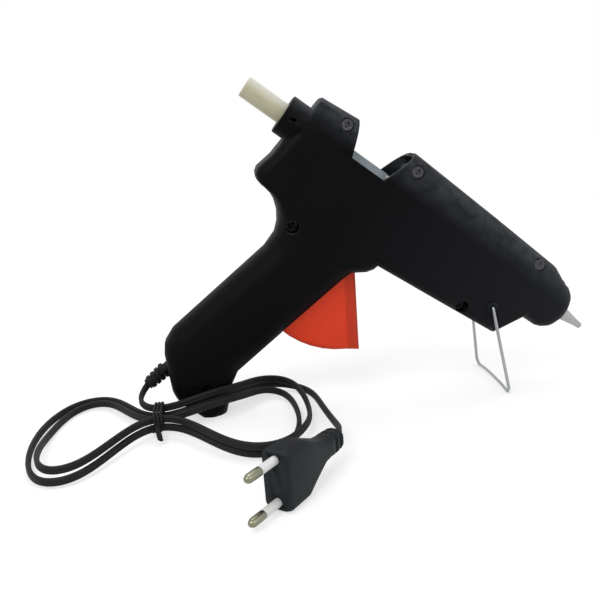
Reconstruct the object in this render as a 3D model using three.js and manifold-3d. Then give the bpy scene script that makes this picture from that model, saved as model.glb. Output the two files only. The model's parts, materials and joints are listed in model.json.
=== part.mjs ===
// Hot glue applicator standing on its handle toe and its wire stand, with its flat cord looped and tied.
// Millimetres, +Z up. The gun is drawn with its barrel along +X and the glue stick on the X axis,
// then tipped nose down and set on the table plane at Z = 0. The user's left is +Y.

import * as THREE from 'three';
import { mergeVertices } from 'three/addons/utils/BufferGeometryUtils.js';
import Module from 'manifold-3d';

const wasm = await Module();
wasm.setup();

// Overall stance
const restPitch = THREE.MathUtils.degToRad(38.9); // nose down, as the gun stands
const cutOverrun = 1; // how far a cutter runs past the face it cuts
const meshGap = 0.3; // running clearance between pieces
const partingGap = 0.3; // seam between the two housing halves

// Housing: wall, and the chain of lengths along the barrel, from the collar's rear face
const wall = 2.4;
const collarLength = 11.5;
const blockLength = 29;
const notchLength = 19.5;
const barrelLength = 120;
const noseLength = 11;
const blockFront = collarLength + blockLength;
const barrelRear = blockFront + notchLength;
const barrelFront = barrelRear + barrelLength;
const noseFront = barrelFront + noseLength;

// Heights and widths of the collar, rear block, barrel and nose. Body, block and barrel share one flush side
const bodyHalfWidth = 18.5;
const collarRadius = 10.8;
const blockTopRear = 17.6;
const blockTopFront = 20.4;
const blockRound = 11;
const blockFaceTilt = THREE.MathUtils.degToRad(20.3);
const notchFloor = 1.2; // height of the notch floor over the stick's axis
const barrelTopRear = 23.1;
const barrelTopFront = 18.2;
const barrelTopDip = 3.2; // how far the top falls over the chin's end
const barrelDropRear = 38.6;
const barrelDropFront = 31;
const barrelFrontHalfWidth = 14.8;
const barrelTopRound = 12;
const barrelLowRound = 7;
const barrelFaceTilt = THREE.MathUtils.degToRad(20.4);
const chinLength = 19; // from the chin corner to the barrel's front
const chinRise = 2.6; // from the climb's end under the nose to the barrel's front
const noseRadius = 14.5;
const noseRound = 9;
const barrelTuck = 3; // how far the barrel form reaches back into the body

// Body and handle, measured as drops below the stick's axis
const bodyRear = 7;
const shoulderDrop = 10.5;
const bodyRound = 7;
const tangReach = 3.8; // x of the tang's tip
const tangDrop = 30;
const tangRound = 6;
const webRound = 21.3;
const handleLean = THREE.MathUtils.degToRad(13.8);
const handleDepth = 41.6; // front to rear, square to the handle's lean
const handleTopHalfWidth = 17;
const handleHalfWidth = 15.8;
const handleRound = 13.5;
const toeRound = 8;
const heelDrop = 127.5;
const heelRound = 14;
const handleDrop = 157;
const handleEndRound = 2.4;
const lobeX = 76.5;
const lobeDrop = 36.5;
const lobeRound = 9;
const toeTipX = 64.3;
const toeTipDrop = 149.2;
const toeFlare = 0.42; // how fast the toe runs forward, a slope

// Glue stick
const stickRadius = 5.6;
const stickLength = 128;
const stickOverhang = 24;
const stickChamfer = 0.5;
const stickBoreRadius = stickRadius + 0.5 * meshGap + 0.35 * meshGap;
const noseBoreRadius = 4.7;

// Trigger and feed mechanism
const pivotX = 69;
const pivotDrop = 47.7;
const pivotPinRadius = 2;
const pinFit = meshGap;
const triggerRadius = 48;
const triggerHalfWidth = 8;
const triggerRound = 3;
const triggerFrontAngle = THREE.MathUtils.degToRad(-51.6);
const triggerRearAngle = THREE.MathUtils.degToRad(-104);
const triggerTravel = THREE.MathUtils.degToRad(28);
const triggerWall = 2.6;
const hubRadius = 7;
const bladeFace = 8.4; // distance of the blade's flat sides from the pivot
const bladeLip = 1.4; // how far the blade's front corner stands out
const armLength = 30;
const armHalfThick = 3;
const armEndRadius = 3.8;
const linkPinRadius = 1.25;
const linkLength = 16;
const linkThick = 2;
const linkHalfHeight = 3.4;
const linkSlotExtra = 1.1;
const jawHalfThick = 2.5;
const jawPivotDrop = 10.4;
const jawArmLength = 9;
const jawToothGap = 1.2;
const jawBarHalf = 2.3;
const carriageRearReach = 24; // carriage length along the barrel
const carriageHalfWidth = 8.2;
const carriageDrop = 8;
const carriageTop = 5.5;
const carriageBoreRadius = 6.05;
const earThick = 2.6;
const earDrop = 13.6;
const earHalfLength = 3.8;
const wingHalfWidth = 15.3;
const wingTopDrop = 3.4;
const wingThick = 2.4;
const wingInset = 2;
const railReach = 13.4; // distance of the rail's edge from the parting plane
const railThick = 1.8;
const railFit = meshGap;
const railLength = 62;
const guideHalfWidth = 9.2;
const guideTop = 8.2;

// Return spring
const springRadius = 2.6;
const springWireRadius = 0.5;
const springTurns = 11;
const springLeadShare = 0.08;
const springSeat = 19; // distance of the spring's arm eye from the pivot
const springPostX = 33;
const springPostRadius = 1.8;

// Melt chamber, its seal and rings, and the nozzle
const chamberInset = 29; // from the barrel's rear to the chamber's
const chamberSetback = 11.4; // from the chamber's front to the nose's
const chamberRadius = 8;
const chamberBore = 6;
const chamberTaper = 26;
const chamberOutlet = 8.6; // straight outlet behind the spigot
const chamberOutletRadius = 1.8;
const spigotRadius = 4;
const spigotLength = 5;
const pocketGap = 4.2; // between the heater pocket and the mount rings
const pocketHalfWidth = 8;
const pocketDrop = 20;
const slotHalfWidth = 5.6;
const slotTopDrop = 12.6;
const slotHeight = 5;
const heaterOverhang = 5;
const clipLength = 14;
const clipThick = 0.8;
const sleeveLength = 12; // of the sleeve behind the chamber
const sleeveRadius = 8.5;
const sleeveSocketRadius = 10.2;
const sleeveSocketLength = 7;
const ringInset = 42; // from the barrel's rear to the rear ring
const ringSetback = 7.6; // from the front ring to the barrel's front
const ringThick = 7;
const ringGrooveWidth = 3.1;
const rearRingRadius = 12.6;
const frontRingRadius = 11.4;
const ringGrooveDepth = 1.7;
const bulkheadThick = 2.5;
const bulkheadDrop = 12.8;
const nozzleBaseRadius = 6.6;
const nozzleBaseLength = 5.6;
const nozzleNeckRadius = 4.2;
const nozzleConeLength = 12;
const nozzleConeRadius = 2.1;
const nozzleReach = 16;
const nozzleTipRadius = 1.7;
const nozzleOrificeRadius = 0.9;
const nozzleSeat = 0.6; // gap between the chamber's shoulder and the nozzle's base

// Housing screws, and the posts that they hold
const postRadius = 3.7;
const screwRadius = 1.4;
const screwHoleRadius = 1.75;
const pilotRadius = 1.7;
const screwHeadRadius = 3;
const screwHeadHeight = 2.2;
const counterboreRadius = 3.5;
const screwGrip = 9; // how far a screw reaches into the left half
const brightHeadDepth = 2;
const deepHeadDepth = 8;
const recessWidth = 0.9;
const recessLength = 3.6;
const recessDepth = 1;
const collarDimpleRadius = 1.2;
const collarDimpleDepth = 2;

// Wire stand
const wireRadius = 0.85;
const bailSetback = 30.5; // from the stand's pivot to the barrel's front
const bailDrop = 20.2;
const bailFootHalf = 26.8;
const bailHook = 5;
const bailFit = 0.35; // of the wire in its pivot holes
const bailAngle = THREE.MathUtils.degToRad(-43.8);
const bailBow = 1.4;
const bailBend = 3;
const bossRadius = 3.2;
const bossHeight = 1.2;

// Strain relief, cable clamp and leads
const reliefX = 24.3;
const reliefDrop = 147.6;
const reliefRadius = 4;
const reliefFlangeRadius = 5.6;
const reliefFlangeThick = 2;
const reliefNeckRadius = 3.1;
const reliefInside = 9.5;
const reliefOutside = 15;
const reliefTipRadius = 3.2;
const reliefRibs = 4;
const reliefRibHeight = 1;
const reliefRibShare = 0.45;
const cordFit = 0.45; // round the cord in the relief's bore
const reliefHoleRadius = 3.6;
const clampX = 34;
const clampDrop = 127;
const clampLength = 19;
const clampThick = 2.6;
const clampHalfHeight = 3;
const clampScrewSpacing = 14;
const clampPostRadius = 3;
const clampScrewRadius = 1.2;
const clampHeadRadius = 2.5;
const clampHeadHeight = 1.6;
const clampScrewLength = 9;
const leadRadius = 1;
const leadSplit = 1.3; // distance of each lead from the parting plane where it leaves the cord
const leadSide = 11.2; // distance of each lead from the parting plane beside the trigger
const crimpRadius = 1.8;
const crimpLength = 8;

// Flat cord: its section, then its hank, drawn in at the tie into a right and a left loop.
// The near side is the -Y side, and the far side is the +Y side
const cordWidth = 4;
const cordThick = 2.5;
const cordGap = 0.6; // between neighbouring strands of the hank
const tableGap = 0.2;
const hankX = -116;
const hankY = -27.5;
const hankRight = 70;
const hankLeft = 55;
const hankWaist = 1.2;
const hankRightNear = 108;
const hankRightFar = 118;
const hankLeftNear = 120;
const hankLeftFar = 108;
const hankStep = 4.2; // how far a lap steps out
const hankSpread = 8; // how much further it steps out at the loops' ends
const hankLift = 3; // how far the tie lifts the strands
const stackNear = 3.8; // strands closer than this in plan are stacked
const stackFar = 7;
const pinchShare = 0.75;
const farPinchShare = 0.85;
const footLift = 8; // how far the handle's foot holds up the strands that lean on it
const footPlaceShare = 0.5;
const hankLaps = 2.19;
const stepsPerLoop = 24;
const leadCordSteps = 10;
const tailCordSteps = 16;
const tieThick = 1.2;
const tieWidth = 5;
const tieGap = 1.6;
const tieTail = 6;

// Plug, standing on its narrow edge
const plugX = -60;
const plugY = -122.5;
const plugYaw = THREE.MathUtils.degToRad(-128.9);
const plugLength = 36;
const plugTail = 10;
const plugHalfHeight = 13;
const plugHalfThick = 6.85;
const plugRound = 3;
const plugTailHalf = 4.4;
const plugNeckHalf = 4.9;
const plugGroove = 0.8;
const plugPinSpacing = 18.6;
const plugPinRadius = 2;
const plugPinLength = 19;
const plugPinSeat = 6;
const pinSleeveLength = 10;
const pinSleeveRadius = 1.95;
const pinCoreRadius = 1.3;

// Places along the barrel that follow from its length
const chamberRear = barrelRear + chamberInset;
const chamberFront = noseFront - chamberSetback;
const rearRingX = barrelRear + ringInset;
const frontRingX = barrelFront - ringSetback;
const pocketRear = rearRingX + ringThick / 2 + pocketGap;
const pocketLength = frontRingX - ringThick / 2 - pocketGap - pocketRear;
const chamberTaperEnd = chamberFront - chamberOutlet;
const chamberTaperStart = chamberTaperEnd - chamberTaper;
const sleeveRear = chamberRear - sleeveLength;
const bailX = barrelFront - bailSetback;
const bailHoleRadius = wireRadius + bailFit;
const reliefBoreRadius = cordWidth / 2 + cordFit;

// Faces round a circle
const fineSides = 24;
const pinSides = 16;
const wireSides = 8;
const cornerSteps = 4;
const edgeSteps = 3;
const bladeSteps = 9;
const weldDistance = 1e-3; // points nearer than this are one point

// Materials
function finish(color, roughness, metalness) {
  return new THREE.MeshStandardMaterial({ color, roughness, metalness });
}
const blackPlastic = finish(0x141416, 0.5, 0);
const redPlastic = finish(0xc83a22, 0.45, 0);
const greyPlastic = finish(0x7a8286, 0.5, 0);
const steel = finish(0xb8babc, 0.3, 1);
const aluminium = finish(0xa8aaab, 0.45, 1);
const silicone = finish(0xb04a36, 0.7, 0);
const ceramic = finish(0xe4e0d4, 0.6, 0);
const glue = finish(0xd6d2b4, 0.35, 0);
const blackRubber = finish(0x232325, 0.65, 0);
const plugPlastic = finish(0x2d3235, 0.55, 0);
const whitePlastic = finish(0xd2d2d0, 0.5, 0);
const leadSleeving = finish(0xd8d4c8, 0.7, 0);

// Turning geometries into solids and back
function outward(geometry) {
  const bare = geometry.clone();
  bare.deleteAttribute('normal');
  bare.deleteAttribute('uv');
  const merged = mergeVertices(bare, weldDistance / 10);
  const at = merged.attributes.position.array;
  const index = Array.from(merged.index.array);
  const kept = [];
  let volume = 0;
  for (let i = 0; i < index.length; i += 3) {
    const [a, b, c] = [index[i], index[i + 1], index[i + 2]];
    if (a === b || b === c || c === a) continue;
    kept.push(a, b, c);
    const p = new THREE.Vector3().fromArray(at, 3 * a);
    const q = new THREE.Vector3().fromArray(at, 3 * b);
    const r = new THREE.Vector3().fromArray(at, 3 * c);
    volume += p.dot(q.cross(r));
  }
  if (volume < 0) {
    for (let i = 0; i < kept.length; i += 3) {
      [kept[i], kept[i + 1]] = [kept[i + 1], kept[i]];
    }
  }
  merged.setIndex(kept);
  return merged;
}

function solid(geometry) {
  const merged = outward(geometry);
  const mesh = new wasm.Mesh({
    numProp: 3,
    vertProperties: new Float32Array(merged.attributes.position.array),
    triVerts: new Uint32Array(merged.index.array),
  });
  return new wasm.Manifold(mesh);
}

function geometryOf(manifold) {
  const mesh = manifold.getMesh();
  const geometry = new THREE.BufferGeometry();
  geometry.setAttribute('position', new THREE.BufferAttribute(new Float32Array(mesh.vertProperties), 3));
  geometry.setIndex(new THREE.BufferAttribute(new Uint32Array(mesh.triVerts), 1));
  geometry.computeVertexNormals();
  return geometry;
}

function union(parts) {
  return parts.reduce((sum, part) => sum.add(part));
}

// Simple solids in the gun's own frame
function block(x0, x1, y0, y1, z0, z1) {
  const geometry = new THREE.BoxGeometry(x1 - x0, y1 - y0, z1 - z0);
  geometry.translate((x0 + x1) / 2, (y0 + y1) / 2, (z0 + z1) / 2);
  return solid(geometry);
}

function crossPin(x, z, y0, y1, radius, sides = pinSides) {
  const geometry = new THREE.CylinderGeometry(radius, radius, y1 - y0, sides);
  geometry.translate(x, (y0 + y1) / 2, z);
  return solid(geometry);
}

function turned(profile, sides = fineSides) {
  const points = profile.map(([x, radius]) => new THREE.Vector2(radius, x));
  const geometry = new THREE.LatheGeometry(points, sides);
  geometry.rotateZ(-Math.PI / 2);
  return solid(geometry);
}

// A shape's outline as straight steps, without the doubled points where its curves meet
function stepped(shape, divisions) {
  const kept = [];
  for (const point of shape.getPoints(divisions)) {
    if (!kept.length || point.distanceTo(kept.at(-1)) > weldDistance) kept.push(point);
  }
  if (kept[0].distanceTo(kept.at(-1)) < weldDistance) kept.pop();
  return new THREE.Shape(kept);
}

function plate(shape, y0, y1, divisions = cornerSteps) {
  const outline = stepped(shape, divisions);
  const geometry = new THREE.ExtrudeGeometry(outline, { depth: y1 - y0, bevelEnabled: false });
  geometry.rotateX(Math.PI / 2);
  geometry.translate(0, y1, 0);
  return solid(geometry);
}

// A cap over one ring, its triangles in the ring's own order
function capOf(ring, start) {
  const normal = new THREE.Vector3();
  ring.forEach((point, i) => normal.add(point.clone().cross(ring[(i + 1) % ring.length])));
  const sizes = normal.toArray().map(Math.abs);
  const drop = sizes.indexOf(Math.max(...sizes));
  const flat = ring.map((point) => {
    const kept = point.toArray().filter((value, axis) => axis !== drop);
    return new THREE.Vector2(kept[0], kept[1]);
  });
  const around = Math.sign(THREE.ShapeUtils.area(flat));
  return THREE.ShapeUtils.triangulateShape(flat, []).flatMap((corners) => {
    const same = Math.sign(THREE.ShapeUtils.area(corners.map((i) => flat[i]))) === around;
    const order = same ? corners : [...corners].reverse();
    return order.map((i) => start + i);
  });
}

// A closed skin over a row of rings, each ring a list of points in the same order
function loft(rings) {
  const count = rings[0].length;
  const index = [];
  for (let k = 0; k + 1 < rings.length; k++) {
    for (let i = 0; i < count; i++) {
      const j = (i + 1) % count;
      const [a, b] = [k * count + i, k * count + j];
      const [c, d] = [a + count, b + count];
      index.push(a, b, d, a, d, c);
    }
  }
  index.push(...capOf(rings[0], 0).reverse(), ...capOf(rings.at(-1), (rings.length - 1) * count));
  const geometry = new THREE.BufferGeometry();
  const places = rings.flat().flatMap((point) => point.toArray());
  geometry.setAttribute('position', new THREE.BufferAttribute(new Float32Array(places), 3));
  geometry.setIndex(index);
  return solid(geometry);
}

// Rounded rectangle, half wide either side of zero, from low to high, as [across, along] pairs
function roundedOutline(half, low, high, lowRound, highRound) {
  const most = Math.min(half, (high - low) / 2);
  const corners = [
    [half, high, Math.min(highRound, most), 0],
    [-half, high, Math.min(highRound, most), 1],
    [-half, low, Math.min(lowRound, most), 2],
    [half, low, Math.min(lowRound, most), 3],
  ];
  const points = [];
  for (const [across, along, radius, quarter] of corners) {
    const centreAcross = across - Math.sign(across) * radius;
    const centreAlong = quarter < 2 ? along - radius : along + radius;
    for (let i = 0; i <= cornerSteps; i++) {
      const angle = (quarter + i / cornerSteps) * (Math.PI / 2);
      points.push([centreAcross + radius * Math.cos(angle), centreAlong + radius * Math.sin(angle)]);
    }
  }
  return points;
}

function crossSection(x, half, low, high, lowRound, highRound) {
  return roundedOutline(half, low, high, lowRound, highRound).map(([y, z]) => new THREE.Vector3(x, y, z));
}

// Everything on one side of a plane through (x, z), tilted about Y; side +1 keeps what is ahead
function aheadOf(x, z, tilt, side) {
  const span = barrelLength + blockLength + handleDrop;
  const geometry = new THREE.BoxGeometry(span, span, span);
  geometry.translate((side * span) / 2, 0, 0);
  geometry.rotateY(tilt);
  geometry.translate(x, 0, z);
  return solid(geometry);
}

// Rear edge of body and handle at a drop below the axis: back, tang, web of the thumb, back of handle, heel
const tangX = tangReach + tangRound;
const webDrop = tangDrop + tangRound + webRound;
function rearEdge(drop, inset) {
  const tangArc = tangRound - inset;
  const webArc = webRound + inset;
  const lineDrop = webDrop + webArc * Math.sin(handleLean);
  const lineX = tangX + webArc * Math.cos(handleLean);
  const straight = (d) => lineX - (d - lineDrop) * Math.tan(handleLean);
  if (drop <= tangDrop) {
    if (drop <= shoulderDrop) {
      const down = THREE.MathUtils.clamp((drop + notchFloor) / (shoulderDrop + notchFloor), 0, 1);
      return THREE.MathUtils.lerp(collarLength, bodyRear, down) + inset;
    }
    const share = (drop - shoulderDrop) / (tangDrop - shoulderDrop);
    return THREE.MathUtils.lerp(bodyRear, tangReach, share * share) + inset;
  }
  if (drop <= tangDrop + tangArc) return tangX - Math.sqrt(Math.max(0, tangArc ** 2 - (drop - tangDrop) ** 2));
  if (drop <= lineDrop) return tangX + Math.sqrt(Math.max(0, webArc ** 2 - (drop - webDrop) ** 2));
  if (drop <= heelDrop) return straight(drop);
  const heelArc = heelRound - inset;
  const heelX = straight(heelDrop) + heelArc * Math.cos(handleLean);
  const heelMid = heelDrop + heelArc * Math.sin(handleLean);
  const turnDrop = heelMid + heelArc * Math.SQRT1_2;
  if (drop <= turnDrop) return heelX - Math.sqrt(Math.max(0, heelArc ** 2 - (drop - heelMid) ** 2));
  return heelX - heelArc * Math.SQRT1_2 + (drop - turnDrop);
}

// Front edge: lobe under the barrel, front of handle, toe
const frontLineDrop = webDrop + webRound * Math.sin(handleLean);
const frontLineX = tangX + webRound * Math.cos(handleLean) + handleDepth / Math.cos(handleLean);
function frontEdge(drop, inset) {
  const lobeArc = lobeRound - inset;
  if (drop <= lobeDrop) return lobeX + lobeArc;
  const lobe = drop < lobeDrop + lobeArc ? lobeX + Math.sqrt(lobeArc ** 2 - (drop - lobeDrop) ** 2) : 0;
  const line = frontLineX - (drop - frontLineDrop) * Math.tan(handleLean) - inset / Math.cos(handleLean);
  const toe = toeTipX - Math.max(0, toeTipDrop - drop) * toeFlare - inset;
  return Math.max(lobe, line, toe);
}

function bodyRing(drop, inset, shrink) {
  const down = THREE.MathUtils.smoothstep(drop, barrelDropRear - barrelLowRound, webDrop);
  const toward = THREE.MathUtils.smoothstep(drop, heelDrop, toeTipDrop);
  const further = THREE.MathUtils.clamp((drop - webDrop) / (handleDrop - webDrop), 0, 1);
  const top = THREE.MathUtils.lerp(bodyHalfWidth, handleTopHalfWidth, down);
  const half = THREE.MathUtils.lerp(top, handleHalfWidth, further) - inset - shrink;
  const round = THREE.MathUtils.lerp(THREE.MathUtils.lerp(bodyRound, handleRound, down), toeRound, toward) - inset;
  const low = rearEdge(drop, inset) + shrink;
  const high = frontEdge(drop, inset) - shrink;
  return roundedOutline(half, low, high, round, round).map(([y, x]) => new THREE.Vector3(x, y, -drop));
}

const tangStepShares = [0.5, 0.85, 1];
const webStepShares = [0.995, 0.95, 0.85, 0.68, 0.45, 0.2];
const heelStepShares = [0.5, 1];
function bodyForm(inset, top, end) {
  const tangArc = tangRound - inset;
  const webArc = webRound + inset;
  const heelArc = heelRound - inset;
  const heelMid = heelDrop + heelArc * Math.sin(handleLean);
  const drops = [top, shoulderDrop, (shoulderDrop + tangDrop) / 2, tangDrop];
  for (const share of tangStepShares) drops.push(tangDrop + share * tangArc);
  for (const share of webStepShares) drops.push(webDrop - share * webArc);
  drops.push(webDrop + webArc * Math.sin(handleLean), heelDrop);
  for (const share of heelStepShares) drops.push(heelMid + share * heelArc * Math.SQRT1_2);
  drops.push(toeTipDrop);
  const rings = drops.filter((drop) => drop < end).sort((a, b) => a - b).map((drop) => bodyRing(drop, inset, 0));
  const round = inset > 0 ? 0 : handleEndRound;
  rings.push(bodyRing(end - round, inset, 0));
  if (round > 0) rings.push(bodyRing(end, inset, round / 2));
  return loft(rings);
}

function blockForm(inset, rear, front, low) {
  const rings = [[rear, 0], [front, 1]].map(([x, share]) => crossSection(
    x,
    bodyHalfWidth - inset,
    low,
    THREE.MathUtils.lerp(blockTopRear, blockTopFront, share) - inset,
    blockRound - inset,
    blockRound - inset,
  ));
  return loft(rings);
}

// Barrel stations, as shares of the length from its rear to the chin and on to the front
const barrelStationShares = [0, 0.55, 0.8];
function barrelHalf(x) {
  const narrow = THREE.MathUtils.smoothstep((x - barrelRear) / barrelLength, barrelStationShares[1], 1);
  return THREE.MathUtils.lerp(bodyHalfWidth, barrelFrontHalfWidth, narrow);
}

function barrelForm(inset, rear) {
  const chin = barrelFront - chinLength;
  const along = (x) => (x - barrelRear) / barrelLength;
  const xs = barrelStationShares.map((share) => THREE.MathUtils.lerp(rear, barrelFront, share));
  xs.push(chin - inset, barrelFront - chinLength / 2, barrelFront - chinRise, barrelFront);
  const rings = xs.map((x) => {
    const share = along(x);
    const half = barrelHalf(x) - inset;
    const dip = barrelTopDip * THREE.MathUtils.smoothstep(x, barrelFront - chinLength / 2, barrelFront);
    const high = THREE.MathUtils.lerp(barrelTopRear, barrelTopFront, share) - dip - inset;
    const belly = THREE.MathUtils.lerp(barrelDropRear, barrelDropFront, (x - barrelRear) / (chin - barrelRear));
    const low = x <= chin ? -belly + inset : -noseRadius + inset;
    return crossSection(x, half, low, high, barrelLowRound - inset / 2, barrelTopRound - inset);
  });
  return loft(rings);
}

function noseForm(inset) {
  const rear = barrelFront - chinRise;
  const radius = noseRadius - inset;
  const front = noseFront - inset;
  const profile = [[rear, 0], [rear, radius]];
  for (let i = 0; i <= cornerSteps; i++) {
    const angle = (i / cornerSteps) * (Math.PI / 2);
    const round = noseRound;
    profile.push([front - round + round * Math.sin(angle), radius - round + round * Math.cos(angle)]);
  }
  profile.push([front, 0]);
  return turned(profile);
}

// Housing halves
const standPlaneX = toeTipX;
const outerBody = bodyForm(0, -notchFloor, handleDrop);
const outerBlock = blockForm(0, collarLength, blockFront + cutOverrun, -shoulderDrop)
  .intersect(aheadOf(blockFront, 0, -blockFaceTilt, -1));
const outerBarrel = barrelForm(0, barrelRear - barrelTuck)
  .intersect(aheadOf(barrelRear, 0, barrelFaceTilt, 1).add(
    block(barrelRear - barrelTuck, barrelRear + barrelLength, -bodyHalfWidth, bodyHalfWidth, -handleDrop, 0),
  ));
const collar = turned([[0, 0], [0, collarRadius - cutOverrun / 2], [cutOverrun / 2, collarRadius],
  [collarLength + wall, collarRadius], [collarLength + wall, 0]]);
const standPlane = aheadOf(standPlaneX, -toeTipDrop, Math.PI / 2 - restPitch, 1);
const outerForm = union([outerBody, outerBlock, outerBarrel, collar, noseForm(0)]).subtract(standPlane);

const innerBody = bodyForm(wall, -notchFloor - cutOverrun, handleDrop - wall);
const innerBlock = blockForm(wall, collarLength + wall, blockFront, -shoulderDrop - wall)
  .intersect(aheadOf(blockFront - wall, 0, -blockFaceTilt, -1));
const innerBarrel = barrelForm(wall, barrelRear - barrelTuck); // open at its rear, as an arch over the notch
const innerStand = aheadOf(
  standPlaneX - wall * Math.sin(restPitch),
  -toeTipDrop + wall * Math.cos(restPitch),
  Math.PI / 2 - restPitch,
  1,
);
const hollow = union([innerBody, innerBlock, innerBarrel, noseForm(wall)]).subtract(innerStand);

// Where the screws go, along and across, from what each one holds
const chinX = barrelFront - chinLength;
const blockScrewShares = [0.6, 0.75]; // of the block's length and rear height
const rearScrewShares = [0.107, 0.64]; // of the barrel's length and rear height
const noseScrewShares = [0.821, 0.73]; // of the barrel's length and front height
const bellyScrewShares = [0.632, 0.93]; // of the barrel's length and front drop
const handleScrewShares = [0.83, 0.94]; // of the handle's rear line and the pivot's drop
const toeScrewShares = [0.75, 0.955]; // of the toe's reach and drop
const alongBarrel = (share) => barrelRear + share * barrelLength;
const handleScrewX = frontLineX - handleDepth + webRound * (1 - handleScrewShares[0]);
const blockScrew = { x: collarLength + blockScrewShares[0] * blockLength, z: blockScrewShares[1] * blockTopRear, deep: false };
const rearScrew = { x: alongBarrel(rearScrewShares[0]), z: rearScrewShares[1] * barrelTopRear, deep: false };
const noseScrew = { x: alongBarrel(noseScrewShares[0]), z: noseScrewShares[1] * barrelTopFront, deep: false };
const bellyScrew = { x: alongBarrel(bellyScrewShares[0]), z: -bellyScrewShares[1] * barrelDropFront, deep: true };
const handleScrew = { x: handleScrewX, z: -handleScrewShares[1] * pivotDrop, deep: true };
const toeScrew = { x: toeScrewShares[0] * toeTipX, z: -toeScrewShares[1] * toeTipDrop, deep: true };
const housingScrews = {
  housing_screw_block: blockScrew,
  housing_screw_barrel_rear: rearScrew,
  housing_screw_barrel_front: noseScrew,
  housing_screw_barrel_low: bellyScrew,
  housing_screw_handle_top: handleScrew,
  housing_screw_handle_foot: toeScrew,
};

// Depth of the housing's right face at a place, found on the outer form
function rightFaceY(x, z) {
  const probe = block(x - pilotRadius, x + pilotRadius, -handleDrop, 0, z - pilotRadius, z + pilotRadius);
  const box = outerForm.intersect(probe).boundingBox();
  return box.min[1];
}

for (const screw of Object.values(housingScrews)) {
  screw.face = rightFaceY(screw.x, screw.z);
  screw.head = screw.face + (screw.deep ? deepHeadDepth : brightHeadDepth);
}

function mirrored(manifold) {
  return manifold.mirror([0, 1, 0]);
}

// The trigger's blade, drawn first because the housing's slot is cut round it
function polar(radius, angle) {
  return [pivotX + radius * Math.cos(angle), -pivotDrop + radius * Math.sin(angle)];
}

// The blade's side outline: the arc swept by its tip, and two straight sides tangent to the hub
function bladeOutline(inset) {
  const hub = bladeFace - inset;
  const tip = triggerRadius - inset;
  const side = Math.asin(hub / tip);
  const points = [];
  for (let i = 0; i <= bladeSteps; i++) {
    const angle = THREE.MathUtils.lerp(triggerFrontAngle + side, triggerRearAngle - side, i / bladeSteps);
    points.push(polar(i === 0 ? tip + bladeLip : tip, angle));
  }
  const hubStart = triggerRearAngle - Math.PI / 2 + 2 * Math.PI;
  for (let i = 0; i <= bladeSteps; i++) {
    points.push(polar(hub, THREE.MathUtils.lerp(hubStart, triggerFrontAngle + Math.PI / 2, i / bladeSteps)));
  }
  return points;
}

function triggerBlade(inset, half, round) {
  const ring = (more, y) => bladeOutline(inset + more).map(([x, z]) => new THREE.Vector3(x, y, z));
  const rings = [];
  for (let i = 0; i <= edgeSteps; i++) {
    const angle = (i / edgeSteps) * (Math.PI / 2);
    rings.push(ring(round * (1 - Math.sin(angle)), -half + round * (1 - Math.cos(angle))));
  }
  const front = rings.map((points) => points.map((point) => new THREE.Vector3(point.x, -point.y, point.z)));
  return loft([...rings, ...front.reverse()]);
}

const rightSpace = block(-handleDrop, noseFront + handleDrop, -handleDrop, -partingGap / 2, -2 * handleDrop, handleDrop);
const leftSpace = mirrored(rightSpace);
const triggerSlot = (() => {
  const shape = new THREE.Shape();
  const reach = triggerRadius + 2 * meshGap;
  shape.absarc(pivotX, -pivotDrop, reach, triggerFrontAngle / 2, triggerRearAngle, true);
  shape.lineTo(pivotX, -pivotDrop);
  shape.closePath();
  const half = triggerHalfWidth + 2 * meshGap;
  const sector = plate(shape, -half, half, fineSides);
  const hub = crossPin(pivotX, -pivotDrop, -half, half, hubRadius + 2 * meshGap, fineSides);
  return union([sector, hub, triggerBlade(-2 * meshGap, half, 0)]);
})();

// Strain relief's own frame: along the handle's lean, out through the heel
function turnedAlongRelief(profile, sides = fineSides) {
  const points = profile.map(([s, radius]) => new THREE.Vector2(radius, s));
  const geometry = new THREE.LatheGeometry(points, sides);
  geometry.rotateX(-Math.PI / 2);
  geometry.rotateY(handleLean);
  geometry.translate(reliefX, 0, -reliefDrop);
  return solid(geometry);
}

const reliefHole = turnedAlongRelief([
  [-2 * reliefInside, 0], [-2 * reliefInside, reliefHoleRadius], [reliefOutside, reliefHoleRadius], [reliefOutside, 0],
]);
const reliefSeat = -reliefInside + reliefFlangeThick + meshGap;
const reliefBoss = turnedAlongRelief([
  [reliefSeat, 0], [reliefSeat, reliefFlangeRadius], [reliefOutside, reliefFlangeRadius], [reliefOutside, 0],
]);

const pinBossHalf = triggerHalfWidth + meshGap + wall / 2;
const pivotPinHalf = bodyHalfWidth - 2 * wall - meshGap * 2;
const railTop = -wingTopDrop + railFit;
const railLow = -wingTopDrop - wingThick - railFit;

const rearBulkhead = block(rearRingX - bulkheadThick / 2, rearRingX + bulkheadThick / 2,
  -bodyHalfWidth, 0, -bulkheadDrop, barrelTopRear)
  .subtract(turned([[0, 0], [0, rearRingRadius - ringGrooveDepth + meshGap],
    [noseFront, rearRingRadius - ringGrooveDepth + meshGap], [noseFront, 0]]));
const frontBulkhead = block(frontRingX - bulkheadThick / 2, frontRingX + bulkheadThick / 2,
  -bodyHalfWidth, 0, -bulkheadDrop, barrelTopRear)
  .subtract(turned([[0, 0], [0, frontRingRadius - ringGrooveDepth + meshGap],
    [noseFront, frontRingRadius - ringGrooveDepth + meshGap], [noseFront, 0]]));

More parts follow.
